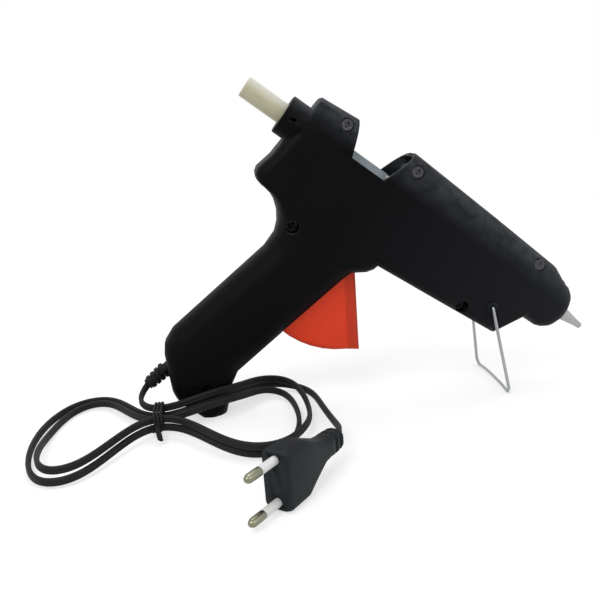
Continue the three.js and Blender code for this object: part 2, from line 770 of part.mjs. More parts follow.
// Fittings inside one half, drawn for the right half
function fittings() {
  const parts = [rearBulkhead, frontBulkhead, reliefBoss];
  for (const screw of Object.values(housingScrews)) {
    parts.push(crossPin(screw.x, screw.z, -bodyHalfWidth, 0, postRadius));
  }
  parts.push(crossPin(pivotX, -pivotDrop, -bodyHalfWidth, -pinBossHalf, 2 * pivotPinRadius));
  const railStart = blockFront - railLength / 4;
  parts.push(block(railStart, railStart + railLength, -bodyHalfWidth, -railReach, railTop, railTop + railThick));
  parts.push(block(railStart, railStart + railLength, -bodyHalfWidth, -railReach, railLow - railThick, railLow));
  parts.push(crossPin(bailX, -bailDrop, -bodyHalfWidth, -bodyHalfWidth + 2 * wall, bossRadius));
  return union(parts).intersect(outerForm);
}

const bossFace = barrelHalf(bailX) + bossHeight;
const bailPivotHalf = bossFace + meshGap + wireRadius;
const sideBoss = crossPin(bailX, -bailDrop, -bossFace, wall - barrelHalf(bailX), bossRadius);
const bailHole = crossPin(bailX, -bailDrop, -handleDrop, -bodyHalfWidth + 2 * wall + cutOverrun, bailHoleRadius);
const pivotHole = crossPin(pivotX, -pivotDrop, -pivotPinHalf - meshGap, 0, pivotPinRadius + pinFit);
const stickBore = turned([[-cutOverrun, 0], [-cutOverrun, stickBoreRadius],
  [collarLength + 2 * wall, stickBoreRadius], [collarLength + 2 * wall, 0]]);
const nozzleHole = turned([[noseFront - 2 * noseRound, 0], [noseFront - 2 * noseRound, noseBoreRadius],
  [noseFront + cutOverrun, noseBoreRadius], [noseFront + cutOverrun, 0]]);
const guideHole = block(blockFront - 2 * blockRound, barrelRear + 2 * blockRound / 2,
  -guideHalfWidth, guideHalfWidth, -shoulderDrop, guideTop);
const throughCuts = union([triggerSlot, reliefHole, stickBore, nozzleHole, guideHole]);

function rightHalf() {
  let half = outerForm.subtract(hollow).intersect(rightSpace);
  half = half.add(fittings().intersect(rightSpace)).add(sideBoss);
  half = half.subtract(throughCuts).subtract(bailHole).subtract(pivotHole);
  for (const screw of Object.values(housingScrews)) {
    half = half.subtract(crossPin(screw.x, screw.z, -handleDrop, 0, screwHoleRadius));
    half = half.subtract(crossPin(screw.x, screw.z, -handleDrop, screw.head + screwHeadHeight, counterboreRadius));
  }
  const dimple = crossPin(collarLength / 2, 0, -handleDrop, -collarRadius + collarDimpleDepth, collarDimpleRadius);
  return half.subtract(dimple);
}

const clampPostX = [clampX - clampScrewSpacing / 2, clampX + clampScrewSpacing / 2];
const clampFace = -cordThick / 2; // the posts' ends, level with the cord's near face
function leftHalf() {
  let half = outerForm.subtract(hollow).intersect(leftSpace);
  half = half.add(mirrored(fittings()).intersect(leftSpace)).add(mirrored(sideBoss));
  for (const x of clampPostX) {
    half = half.add(crossPin(x, -clampDrop, clampFace, handleHalfWidth - wall / 2, clampPostRadius));
  }
  const pad = block(clampPostX[0], clampPostX[1], cordThick / 2 + meshGap, handleHalfWidth - wall / 2,
    -clampDrop - clampHalfHeight, -clampDrop + clampHalfHeight);
  half = half.add(pad);
  const spring = crossPin(springPostX, -pivotDrop + springSeat, -springPostRadius, bodyHalfWidth - wall / 2, springPostRadius);
  half = half.add(spring);
  half = half.subtract(throughCuts).subtract(mirrored(bailHole)).subtract(mirrored(pivotHole));
  for (const screw of Object.values(housingScrews)) {
    half = half.subtract(crossPin(screw.x, screw.z, 0, screwGrip + cutOverrun, pilotRadius));
  }
  for (const x of clampPostX) {
    half = half.subtract(crossPin(x, -clampDrop, clampFace - cutOverrun, clampFace + clampScrewLength,
      clampScrewRadius + meshGap));
  }
  return half;
}

// Screw with its head at y = head, its shank running towards +Y
function screwSolid(x, z, head, tip, headRadius, headHeight, shankRadius, crossed) {
  let screw = crossPin(x, z, head, head + headHeight, headRadius).add(
    crossPin(x, z, head + headHeight / 2, tip, shankRadius, wireSides),
  );
  if (crossed) {
    const long = recessLength / 2;
    const thin = recessWidth / 2;
    const deep = head + recessDepth;
    const slots = block(x - long, x + long, head - cutOverrun, deep, z - thin, z + thin)
      .add(block(x - thin, x + thin, head - cutOverrun, deep, z - long, z + long));
    screw = screw.subtract(slots);
  }
  return screw;
}

// Trigger: a hollow-backed sector blade below the pivot and a lever arm above it
const armLean = triggerTravel / 2;
const armTip = {
  x: pivotX - armLength * Math.sin(armLean),
  z: -pivotDrop + armLength * Math.cos(armLean),
};
function triggerSolid() {
  const arm = new THREE.Shape();
  const up = Math.PI / 2 + armLean;
  arm.absarc(armTip.x, armTip.z, armEndRadius, up - Math.PI / 2, up + Math.PI / 2, false);
  arm.absarc(pivotX, -pivotDrop, hubRadius * 0.9, up + Math.PI / 2, up + Math.PI * 1.5, false);
  arm.closePath();
  const lever = plate(arm, -armHalfThick, armHalfThick, pinSides / 2);
  const pocket = triggerBlade(triggerWall, triggerHalfWidth - triggerWall, 0);
  const rearward = triggerWall * 2;
  const [backX, backZ] = [
    rearward * Math.cos(triggerRearAngle - Math.PI / 2),
    rearward * Math.sin(triggerRearAngle - Math.PI / 2),
  ];
  const hub = crossPin(pivotX, -pivotDrop, -triggerHalfWidth, triggerHalfWidth, hubRadius, fineSides);
  const blade = triggerBlade(0, triggerHalfWidth, triggerRound)
    .subtract(pocket.translate([backX, 0, backZ]))
    .add(hub);
  return blade.add(lever)
    .subtract(crossPin(pivotX, -pivotDrop, -handleDrop, handleDrop, pivotPinRadius + pinFit))
    .subtract(crossPin(armTip.x, armTip.z, -handleDrop, handleDrop, linkPinRadius + meshGap));
}

// Links, jaw and carriage
const jawLowX = armTip.x - linkLength;
const linkGap = meshGap;
function linkPlate(y0, y1) {
  const shape = new THREE.Shape();
  const middle = armTip.z;
  shape.absarc(armTip.x, middle, linkHalfHeight, -Math.PI / 2, Math.PI / 2, false);
  shape.absarc(jawLowX, middle, linkHalfHeight, Math.PI / 2, Math.PI * 1.5, false);
  shape.closePath();
  const fit = linkPinRadius + meshGap;
  const slot = block(jawLowX - fit, jawLowX + fit, y0 - cutOverrun, y1 + cutOverrun,
    middle - fit - linkSlotExtra, middle + fit);
  return plate(shape, y0, y1, pinSides / 2)
    .subtract(crossPin(armTip.x, middle, y0 - cutOverrun, y1 + cutOverrun, fit))
    .subtract(slot);
}

function jawSolid() {
  const toothTop = -stickRadius - jawToothGap;
  const toothX = jawLowX + jawArmLength;
  const shape = new THREE.Shape();
  shape.moveTo(jawLowX - jawBarHalf, armTip.z - jawBarHalf);
  shape.lineTo(jawLowX + jawBarHalf, armTip.z - jawBarHalf);
  shape.lineTo(jawLowX + jawBarHalf, -jawPivotDrop - jawBarHalf);
  shape.lineTo(toothX, -jawPivotDrop - jawBarHalf / 2);
  shape.lineTo(toothX + jawBarHalf / 2, toothTop);
  shape.lineTo(toothX - jawBarHalf, -jawPivotDrop + jawBarHalf / 2);
  shape.lineTo(jawLowX - jawBarHalf, -jawPivotDrop + jawBarHalf);
  shape.closePath();
  return plate(shape, -jawHalfThick, jawHalfThick)
    .subtract(crossPin(jawLowX, -jawPivotDrop, -handleDrop, handleDrop, linkPinRadius + meshGap))
    .subtract(crossPin(jawLowX, armTip.z, -handleDrop, handleDrop, linkPinRadius + meshGap));
}

const carriageRear = blockFront - 2.5 * wingInset / 2;
const carriageFront = carriageRear + carriageRearReach;
function carriageSolid() {
  const body = block(carriageRear, carriageFront, -carriageHalfWidth, carriageHalfWidth, -carriageDrop, carriageTop);
  const wings = block(carriageRear + wingInset, carriageFront - wingInset, -wingHalfWidth, wingHalfWidth,
    -wingTopDrop - wingThick, -wingTopDrop);
  const earInner = jawHalfThick + meshGap;
  const ear = (side) => block(jawLowX - earHalfLength, jawLowX + earHalfLength,
    Math.min(side * earInner, side * (earInner + earThick)), Math.max(side * earInner, side * (earInner + earThick)),
    -earDrop, -carriageDrop + wall);
  const bore = turned([[carriageRear - cutOverrun, 0], [carriageRear - cutOverrun, carriageBoreRadius],
    [carriageFront + cutOverrun, carriageBoreRadius], [carriageFront + cutOverrun, 0]]);
  const openTop = block(carriageRear - cutOverrun, carriageFront + cutOverrun,
    -carriageBoreRadius, carriageBoreRadius, 0, carriageTop + cutOverrun);
  const jawWindow = block(jawLowX - earHalfLength, jawLowX + jawArmLength + 2 * jawBarHalf,
    -earInner, earInner, -carriageDrop - cutOverrun, 0);
  return union([body, wings, ear(1), ear(-1)])
    .subtract(bore)
    .subtract(openTop)
    .subtract(jawWindow)
    .subtract(crossPin(jawLowX, -jawPivotDrop, -handleDrop, handleDrop, linkPinRadius + meshGap));
}

// A bent wire or tube through points, square at its ends
function sweep(points, sectionShape, steps) {
  const path = new THREE.CatmullRomCurve3(points, false, 'centripetal');
  return new THREE.ExtrudeGeometry(sectionShape, { steps, bevelEnabled: false, extrudePath: path });
}

function circleShape(radius, sides) {
  const points = [];
  for (let i = 0; i < sides; i++) {
    const angle = ((i + 0.5) / sides) * Math.PI * 2;
    points.push(new THREE.Vector2(radius * Math.cos(angle), radius * Math.sin(angle)));
  }
  return new THREE.Shape(points);
}

class SpringCurve extends THREE.Curve {
  constructor(x0, x1, z, radius, turns) {
    super();
    Object.assign(this, { x0, x1, z, radius, turns });
  }

  getPoint(t, target = new THREE.Vector3()) {
    const angle = t * this.turns * Math.PI * 2;
    const grow = Math.min(1, t / springLeadShare, (1 - t) / springLeadShare);
    const x = THREE.MathUtils.lerp(this.x0, this.x1, t);
    return target.set(x, this.radius * grow * Math.cos(angle), this.z + this.radius * grow * Math.sin(angle));
  }
}

const springZ = -pivotDrop + springSeat;
const armAtSpringX = pivotX - springSeat * Math.tan(armLean);
const springStart = springPostX + springPostRadius + 2 * springWireRadius;
const springEnd = armAtSpringX - hubRadius + springWireRadius;
const springSteps = 8;
const springSides = 5;
function springGeometry() {
  const path = new SpringCurve(springStart, springEnd, springZ, springRadius, springTurns);
  return new THREE.ExtrudeGeometry(circleShape(springWireRadius, springSides), {
    steps: springTurns * springSteps,
    bevelEnabled: false,
    extrudePath: path,
  });
}

// Melt chamber, heater, sleeve, rings and nozzle
function chamberSolid() {
  const tube = turned([
    [chamberRear, chamberBore], [chamberRear, chamberRadius], [chamberFront, chamberRadius],
    [chamberFront, spigotRadius], [chamberFront + spigotLength, spigotRadius],
    [chamberFront + spigotLength, chamberOutletRadius], [chamberTaperEnd, chamberOutletRadius],
    [chamberTaperStart, chamberBore], [chamberRear, chamberBore],
  ]);
  const pocket = block(pocketRear, pocketRear + pocketLength, -pocketHalfWidth, pocketHalfWidth, -pocketDrop, 0)
    .subtract(turned([[0, 0], [0, (chamberRadius + chamberBore) / 2], [noseFront, (chamberRadius + chamberBore) / 2],
      [noseFront, 0]]));
  const slot = block(pocketRear - cutOverrun, pocketRear + pocketLength + cutOverrun, -slotHalfWidth, slotHalfWidth,
    -slotTopDrop - slotHeight, -slotTopDrop);
  return tube.add(pocket).subtract(slot);
}

const heaterRear = pocketRear - heaterOverhang;
function heaterSolid() {
  const half = slotHalfWidth - meshGap;
  const body = block(pocketRear + meshGap, pocketRear + pocketLength - heaterOverhang, -half, half,
    -slotTopDrop - slotHeight + meshGap, -slotTopDrop - meshGap);
  const tab = (side) => block(heaterRear, pocketRear + cutOverrun, Math.min(side * half, side * half / 2),
    Math.max(side * half, side * half / 2), -slotTopDrop - slotHeight / 2 - clipThick / 2,
    -slotTopDrop - slotHeight / 2 + clipThick / 2);
  return union([body, tab(1), tab(-1)]);
}

function clipSolid() {
  const x0 = pocketRear + pocketLength / 2 - clipLength / 2;
  const x1 = x0 + clipLength;
  const half = pocketHalfWidth + meshGap;
  const low = -pocketDrop - meshGap;
  return block(x0, x1, -half - clipThick, half + clipThick, low - clipThick, -chamberRadius)
    .subtract(block(x0 - cutOverrun, x1 + cutOverrun, -half, half, low, 0));
}

function ringSolid(x, radius) {
  const rear = x - ringThick / 2;
  const front = x + ringThick / 2;
  const groove = radius - ringGrooveDepth;
  const bore = chamberRadius + meshGap;
  return turned([
    [rear, bore], [rear, radius], [x - ringGrooveWidth / 2, radius], [x - ringGrooveWidth / 2, groove],
    [x + ringGrooveWidth / 2, groove], [x + ringGrooveWidth / 2, radius], [front, radius], [front, bore],
    [rear, bore],
  ]);
}

function sleeveSolid() {
  const bore = stickRadius + meshGap;
  const shoulder = chamberRear - meshGap;
  const front = chamberRear + sleeveSocketLength;
  return turned([
    [sleeveRear, bore], [sleeveRear, sleeveRadius], [shoulder - wall, sleeveRadius],
    [shoulder - wall, sleeveSocketRadius], [front, sleeveSocketRadius], [front, chamberRadius + meshGap],
    [shoulder, chamberRadius + meshGap], [shoulder, bore], [sleeveRear, bore],
  ]);
}

const nozzleRear = chamberFront + nozzleSeat;
const nozzleTip = noseFront + nozzleReach;
function nozzleSolid() {
  const shoulder = nozzleRear + nozzleBaseLength;
  const socket = chamberFront + spigotLength + meshGap;
  return turned([
    [nozzleRear, spigotRadius + meshGap], [nozzleRear, nozzleBaseRadius], [shoulder, nozzleBaseRadius],
    [shoulder, nozzleNeckRadius], [noseFront, nozzleNeckRadius], [noseFront + nozzleConeLength, nozzleConeRadius],
    [nozzleTip, nozzleTipRadius], [nozzleTip, nozzleOrificeRadius], [socket + nozzleSeat, nozzleOrificeRadius],
    [socket, spigotRadius + meshGap], [nozzleRear, spigotRadius + meshGap],
  ]);
}

function stickSolid() {
  const rear = -stickOverhang;
  const front = rear + stickLength;
  return turned([
    [rear, 0], [rear, stickRadius - stickChamfer], [rear + stickChamfer, stickRadius],
    [front - stickChamfer, stickRadius], [front, stickRadius - stickChamfer], [front, 0],
  ]);
}

// Wire stand: hooked into both sides, splayed, with a bowed foot that lies on the table
const tableHeight = (x, z) => x * Math.sin(-restPitch) + z * Math.cos(-restPitch);
const tableLevel = tableHeight(toeTipX, -toeTipDrop);
const wireDrop = wireRadius * Math.cos(Math.PI / wireSides);
const legReach = (tableHeight(bailX, -bailDrop) - tableLevel - wireDrop)
  / -(Math.sin(bailAngle) * Math.cos(restPitch) - Math.cos(bailAngle) * Math.sin(restPitch));
function onLeg(distance, y) {
  return new THREE.Vector3(
    bailX + distance * Math.cos(bailAngle),
    y,
    -bailDrop + distance * Math.sin(bailAngle),
  );
}

function bailGeometry() {
  const side = (sign) => [
    onLeg(0, sign * (bailPivotHalf - bailHook)),
    onLeg(0, sign * (bailPivotHalf - wireRadius)),
    onLeg(wireRadius, sign * bailPivotHalf),
    onLeg(legReach / 2, sign * (bailPivotHalf + bailFootHalf) / 2),
    onLeg(legReach - bailBend, sign * bailFootHalf),
    onLeg(legReach, sign * (bailFootHalf - bailBend)),
  ];
  const foot = [1, 0, -1].map((share) => onLeg(legReach - bailBow * (1 - Math.abs(share) / 4), share * bailFootHalf / 2));
  const points = [...side(1), ...foot, ...side(-1).reverse()];
  return bentWire(points, wireRadius, wireSides);
}

// A wire with mitred bends: one ring at each point, turned halfway between its neighbours
function bentWire(points, radius, sides) {
  const rings = points.map((point, k) => {
    const before = points[Math.max(0, k - 1)];
    const after = points[Math.min(points.length - 1, k + 1)];
    const along = new THREE.Vector3().subVectors(point, before).normalize()
      .add(new THREE.Vector3().subVectors(after, point).normalize()).normalize();
    const flat = new THREE.Vector3(Math.sin(bailAngle), 0, -Math.cos(bailAngle));
    const across = new THREE.Vector3().crossVectors(along, flat).normalize();
    const ring = [];
    for (let i = 0; i < sides; i++) {
      const angle = ((i + 0.5) / sides) * Math.PI * 2;
      ring.push(point.clone()
        .addScaledVector(flat, radius * Math.cos(angle))
        .addScaledVector(across, radius * Math.sin(angle)));
    }
    return ring;
  });
  return loft(rings);
}

// Strain relief: flange inside the heel, neck through its wall, ribbed tail outside
function reliefSolid() {
  const shapeOut = [[-reliefInside, reliefBoreRadius], [-reliefInside, reliefFlangeRadius],
    [-reliefInside + reliefFlangeThick, reliefFlangeRadius], [-reliefInside + reliefFlangeThick, reliefNeckRadius]];
  const tailStart = wall;
  const pitch = (reliefOutside - tailStart) / reliefRibs;
  for (let i = 0; i < reliefRibs; i++) {
    const s = tailStart + i * pitch;
    const radius = THREE.MathUtils.lerp(reliefRadius, reliefTipRadius, i / reliefRibs);
    shapeOut.push([s, reliefNeckRadius + 0.01], [s, radius + reliefRibHeight / 2]);
    shapeOut.push([s + reliefRibShare * pitch, radius + reliefRibHeight / 2]);
    shapeOut.push([s + reliefRibShare * pitch, reliefNeckRadius + 0.01]);
  }
  shapeOut.push([reliefOutside, reliefNeckRadius], [reliefOutside, reliefBoreRadius]);
  shapeOut.push([-reliefInside, reliefBoreRadius]);
  return turnedAlongRelief(shapeOut, pinSides);
}

// Cable clamp inside the left half, over the cord
function clampSolid() {
  const front = clampFace - meshGap;
  let bar = block(clampX - clampLength / 2, clampX + clampLength / 2, front - clampThick, front,
    -clampDrop - clampHalfHeight, -clampDrop + clampHalfHeight);
  for (const x of clampPostX) {
    bar = bar.subtract(crossPin(x, -clampDrop, front - clampThick - cutOverrun, front + cutOverrun,
      clampScrewRadius + meshGap));
  }
  return bar;
}

// A flat cord through points: the section's long side follows the reference direction
const cordSectionShares = [
  [1, 0.6], [0.45, 1], [-0.45, 1], [-1, 0.6], [-1, -0.6], [-0.45, -1], [0.45, -1], [1, -0.6],
];
const loopSectionShares = [[1, 0.55], [0, 1], [-1, 0.55], [-1, -0.55], [0, -1], [1, -0.55]];
function flatCord(points, sectionShares, reference) {
  const rings = points.map((point, k) => {
    const before = points[Math.max(0, k - 1)];
    const after = points[Math.min(points.length - 1, k + 1)];
    const along = new THREE.Vector3().subVectors(after, before).normalize();
    const wide = reference.clone().addScaledVector(along, -reference.dot(along)).normalize();
    const thin = new THREE.Vector3().crossVectors(along, wide);
    return sectionShares.map(([across, up]) => point.clone()
      .addScaledVector(thin, (across * cordThick) / 2)
      .addScaledVector(wide, (up * cordWidth) / 2));
  });
  return rings;
}

function curvePoints(places, steps) {
  const points = places.map((place) => new THREE.Vector3(...place));
  return new THREE.CatmullRomCurve3(points, false, 'centripetal').getSpacedPoints(steps);
}

// Cord inside the handle: from the strain relief's end, past the clamp, to where its two leads part
const reliefAlong = (s) => [reliefX - s * Math.sin(handleLean), 0, -reliefDrop - s * Math.cos(handleLean)];
const cordEndX = clampX + clampHalfHeight / 2;
const cordEndDrop = clampDrop - 2 * clampHalfHeight;
const innerCordSteps = 14;
function innerCordSolid() {
  const places = [
    reliefAlong(reliefOutside), reliefAlong(0), reliefAlong(-reliefInside),
    [clampX, 0, -clampDrop], [cordEndX, 0, -cordEndDrop],
  ];
  return loft(flatCord(curvePoints(places, innerCordSteps), cordSectionShares, new THREE.Vector3(1, 0, 0)));
}

// The two leads, up the handle beside the trigger and along the barrel's floor to the heater
const tabSide = (0.75) * (slotHalfWidth - meshGap);
const tabDrop = slotTopDrop + slotHeight / 2;
const crimpFront = heaterRear - meshGap;
const leadSteps = 18;
const leadSides = 6;
function leadGeometry(side) {
  const places = [
    [cordEndX, side * leadSplit, -cordEndDrop + meshGap + leadRadius],
    [cordEndX + 2 * leadRadius, side * leadSplit * 2, -cordEndDrop + 4 * leadRadius],
    [clampX + handleDepth / 4, side * leadSide, -(cordEndDrop + pivotDrop) / 2],
    [clampX + handleDepth / 2, side * leadSide, -pivotDrop - hubRadius],
    [clampX + handleDepth / 2 + hubRadius, side * leadSide, -barrelDropRear + 2 * leadRadius],
    [pivotX + hubRadius, side * leadSide, -barrelDropRear + hubRadius],
    [sleeveRear + sleeveSocketLength, side * leadSide, -tabDrop - hubRadius],
    [crimpFront - crimpLength - 3 * leadRadius, side * tabSide, -tabDrop],
    [crimpFront - crimpLength - meshGap, side * tabSide, -tabDrop],
  ];
  return sweep(places.map((place) => new THREE.Vector3(...place)), circleShape(leadRadius, leadSides), leadSteps);
}

function crimpSolid(side) {
  const geometry = new THREE.CylinderGeometry(crimpRadius, crimpRadius, crimpLength, wireSides);
  geometry.rotateZ(Math.PI / 2);
  geometry.translate(crimpFront - crimpLength / 2, side * tabSide, -tabDrop);
  return solid(geometry);
}

const group = new THREE.Group();
const gun = new THREE.Group();
group.add(gun);

function add(parent, name, manifold, material) {
  const geometry = manifold.isBufferGeometry ? manifold : geometryOf(manifold);
  const mesh = new THREE.Mesh(geometry, material);
  mesh.name = name;
  parent.add(mesh);
  return mesh;
}

add(gun, 'right_shell', rightHalf(), blackPlastic);
add(gun, 'left_shell', leftHalf(), blackPlastic);
for (const [name, screw] of Object.entries(housingScrews)) {
  add(gun, name, screwSolid(screw.x, screw.z, screw.head, screwGrip, screwHeadRadius, screwHeadHeight,
    screwRadius, true), steel);
}
add(gun, 'trigger', triggerSolid(), redPlastic);
add(gun, 'trigger_pivot_pin', crossPin(pivotX, -pivotDrop, -pivotPinHalf, pivotPinHalf, pivotPinRadius), steel);
const linkInner = armHalfThick + linkGap;
add(gun, 'feed_link_right', linkPlate(-linkInner - linkThick, -linkInner), steel);
add(gun, 'feed_link_left', linkPlate(linkInner, linkInner + linkThick), steel);
const linkPinHalf = linkInner + linkThick + linkGap;
add(gun, 'arm_link_pin', crossPin(armTip.x, armTip.z, -linkPinHalf, linkPinHalf, linkPinRadius), steel);
add(gun, 'jaw_link_pin', crossPin(jawLowX, armTip.z, -linkPinHalf, linkPinHalf, linkPinRadius), steel);
add(gun, 'grip_jaw', jawSolid(), steel);
const jawPinHalf = jawHalfThick + meshGap + earThick + meshGap;
add(gun, 'jaw_pin', crossPin(jawLowX, -jawPivotDrop, -jawPinHalf, jawPinHalf, linkPinRadius), steel);
add(gun, 'feed_carriage', carriageSolid(), greyPlastic);
add(gun, 'return_spring', springGeometry(), steel);
add(gun, 'melt_chamber', chamberSolid(), aluminium);
add(gun, 'heater_element', heaterSolid(), ceramic);
add(gun, 'heater_clip', clipSolid(), steel);
add(gun, 'inlet_sleeve', sleeveSolid(), silicone);
add(gun, 'rear_mount_ring', ringSolid(rearRingX, rearRingRadius), silicone);
add(gun, 'front_mount_ring', ringSolid(frontRingX, frontRingRadius), silicone);
add(gun, 'nozzle', nozzleSolid(), steel);
add(gun, 'glue_stick', stickSolid(), glue);
add(gun, 'wire_stand', bailGeometry(), steel);
add(gun, 'strain_relief', reliefSolid(), blackRubber);

add(gun, 'cable_clamp', clampSolid(), greyPlastic);
const clampScrewHead = clampFace - 2 * meshGap - clampThick - clampHeadHeight;
clampPostX.forEach((x, i) => {
  add(gun, `clamp_screw_${i + 1}`, screwSolid(x, -clampDrop, clampScrewHead,
    clampScrewHead + clampScrewLength, clampHeadRadius, clampHeadHeight, clampScrewRadius, false), steel);
});
add(gun, 'inner_cord', innerCordSolid(), blackRubber);
add(gun, 'heater_lead_right', leadGeometry(-1), leadSleeving);
add(gun, 'heater_lead_left', leadGeometry(1), leadSleeving);
add(gun, 'crimp_right', crimpSolid(-1), steel);
add(gun, 'crimp_left', crimpSolid(1), steel);

gun.rotation.y = restPitch;
gun.updateMatrixWorld(true);
const stance = new THREE.Box3().setFromObject(gun, true);
const middle = stance.getCenter(new THREE.Vector3());
gun.position.set(-middle.x, -middle.y, -stance.min.z);
gun.updateMatrixWorld(true);

// The hank's plan at a turn angle: two loops pinched at the waist, the far right one kept clear of the handle
const up = new THREE.Vector3(0, 0, 1);
function hankPlan(turn) {
  const c = Math.cos(turn);
  const far = Math.sin(turn) > 0;
  const reach = c < 0 ? hankLeft : hankRight;
  const nearBulge = c < 0 ? hankLeftNear : hankRightNear;
  const farBulge = c < 0 ? hankLeftFar : hankRightFar;
  const skirting = far && c > 0;
  const opening = skirting
    ? 1 - Math.exp(-((c / farPinchShare) ** 8))
    : 1 - Math.exp(-((c / pinchShare) ** 2));
  const bulge = far ? farBulge : nearBulge;
  return new THREE.Vector2(hankX + reach * c, hankY + Math.sin(turn) * (hankWaist + bulge * opening));
}

// One point of the cord, so many laps from the tie: it steps in for one lap and out again for the next.
// A strand close to another in plan lies on top of it until it first reaches the left loop's end
const lowLevel = cordWidth / 2 + tableGap;
const levelStep = cordWidth + cordGap;
const tiny = 1e-3;
function hankPoint(laps) {
  const turn = Math.PI / 2 - laps * Math.PI * 2;
  const tangent = hankPlan(turn + tiny).sub(hankPlan(turn - tiny)).normalize();
  const outside = new THREE.Vector2(tangent.y, -tangent.x);
  const widen = hankStep + hankSpread * Math.cos(turn) ** 4;
  const out = Math.abs(1 - laps);
  const plan = hankPlan(turn).addScaledVector(outside, out * widen);
  const apart = Math.min(Math.abs(2 * out - 1), laps < 1 / 4 ? 2 * laps : 1) * widen;
  const stacked = laps < 3 / 4 ? 1 - THREE.MathUtils.smoothstep(apart, stackNear, stackFar) : 0;
  const lift = hankLift * Math.sin(turn) ** 4;
  const hump = THREE.MathUtils.smoothstep(Math.cos(turn), 0, footPlaceShare)
    * (1 - THREE.MathUtils.smoothstep(Math.cos(turn), footPlaceShare, 1));
  const leaning = Math.sin(turn) > 0 ? footLift * hump : 0;
  return new THREE.Vector3(plan.x, plan.y, lowLevel + lift + leaning + levelStep * stacked);
}

// Steps along the hank, closer together where it turns
const hankSteps = Math.round(hankLaps * 2 * stepsPerLoop);
const stepBend = THREE.MathUtils.degToRad(24); // a turn that counts as much as the next length
const stepLength = 14;
const finePoints = [];
for (let i = 0; i <= hankSteps * fineSides; i++) {
  finePoints.push(hankPoint((i / (hankSteps * fineSides)) * hankLaps));
}
const travelled = [0];
for (let i = 1; i < finePoints.length; i++) {
  const step = new THREE.Vector3().subVectors(finePoints[i], finePoints[i - 1]);
  const last = new THREE.Vector3().subVectors(finePoints[i - 1], finePoints[Math.max(0, i - 2)]);
  const bend = last.length() > 0 ? step.angleTo(last) : 0;
  travelled.push(travelled.at(-1) + step.length() / stepLength + bend / stepBend);
}
const hankPoints = [];
for (let i = 0; i <= hankSteps; i++) {
  const wanted = (i / hankSteps) * travelled.at(-1);
  hankPoints.push(finePoints[Math.max(0, travelled.findIndex((value) => value >= wanted - tiny))]);
}
const hankRings = flatCord(hankPoints, loopSectionShares, up);

function leastSelfGap(rings, apart) {
  let least = Infinity;
  for (let i = 0; i < rings.length; i++) {
    for (let j = i + apart; j < rings.length; j++) {
      for (const p of rings[i]) {
        for (const q of rings[j]) least = Math.min(least, p.distanceTo(q));
      }
    }
  }
  return least;
}

add(group, 'cord_hank', loft(hankRings), blackRubber);
console.log(`least gap of the hank to itself: ${leastSelfGap(hankRings, stepsPerLoop).toFixed(2)} mm`);

// The cord's two free stretches, from the strain relief to the hank and from the hank to the plug
const reliefEnd = gun.localToWorld(new THREE.Vector3(...reliefAlong(reliefOutside + meshGap)));
const reliefOut = gun.localToWorld(new THREE.Vector3(...reliefAlong(reliefOutside + cordWidth / 2)));
const hankFirst = new THREE.Vector3().subVectors(hankPoints[1], hankPoints[0]).normalize();
const hankStart = hankPoints[0].clone().addScaledVector(hankFirst, -meshGap);
const leadRoute = [
  [-127.4, -3, 13.4], [-128.2, -8.8, 11.9], [-126.6, -16, 11.6],
];
const leadPoints = curvePoints([
  reliefEnd.toArray(), reliefOut.toArray(), ...leadRoute,
  hankStart.clone().addScaledVector(hankFirst, -cordWidth).toArray(), hankStart.toArray(),
], leadCordSteps);
add(group, 'cord_lead', loft(flatCord(leadPoints, cordSectionShares, up)), blackRubber);

const plugAxis = new THREE.Vector3(Math.cos(plugYaw), Math.sin(plugYaw), 0);
const plugFace = new THREE.Vector3(plugX, plugY, plugHalfHeight + tableGap);
const plugEnd = plugFace.clone().addScaledVector(plugAxis, -plugLength - plugTail - meshGap);
const hankEnd = hankPoints.at(-1);
const hankLast = new THREE.Vector3().subVectors(hankEnd, hankPoints.at(-2)).normalize();
const tailRoute = [
  [-34.6, 8, 3], [-31.4, -5, 3], [-29.4, -23, 4], [-26.8, -42, 7], [-24.6, -59, 10.5], [-24.2, -70, 12.6],
];
const tailPoints = curvePoints([
  hankEnd.clone().addScaledVector(hankLast, meshGap).toArray(),
  hankEnd.clone().addScaledVector(hankLast, cordWidth).toArray(),
  ...tailRoute,
  plugEnd.clone().addScaledVector(plugAxis, -cordWidth).toArray(),
  plugEnd.toArray(),
], tailCordSteps);
add(group, 'cord_tail', loft(flatCord(tailPoints, cordSectionShares, up)), blackRubber);

// Tie round the waist of the hank, with its twisted end
const waistFar = hankWaist + hankStep + cordThick / 2 + tieGap;
const waistNear = hankWaist + hankStep / 2 + cordThick / 2 + tieGap;
const waistMiddle = hankY + (waistFar - waistNear) / 2;
const waistHalf = (waistFar + waistNear) / 2;
const waistLow = lowLevel + hankLift - cordWidth / 2 - meshGap;
const waistHigh = lowLevel + hankLift + levelStep + cordWidth / 2 + tieGap;
function tieSolid() {
  const band = (grow, reach) => loft([-reach, reach].map((x) => roundedOutline(
    waistHalf + grow, waistLow - grow, waistHigh + grow, meshGap + grow, meshGap + grow,
  ).map(([y, z]) => new THREE.Vector3(hankX + x, waistMiddle + y, z))));
  const tail = block(hankX - tieThick, hankX + tieThick, waistMiddle - waistHalf - tieThick - tieTail,
    waistMiddle - waistHalf - tieThick / 2, waistLow + tieThick, waistLow + 2 * tieThick);
  return band(tieThick, tieWidth / 2).subtract(band(0, tieWidth / 2 + cutOverrun)).add(tail);
}
add(group, 'cord_tie', tieSolid(), blackRubber);

// Plug: drawn along +X with its pins forward, one above the other, then turned on the table
const plug = new THREE.Group();
plug.position.copy(plugFace);
plug.rotation.z = plugYaw;
group.add(plug);

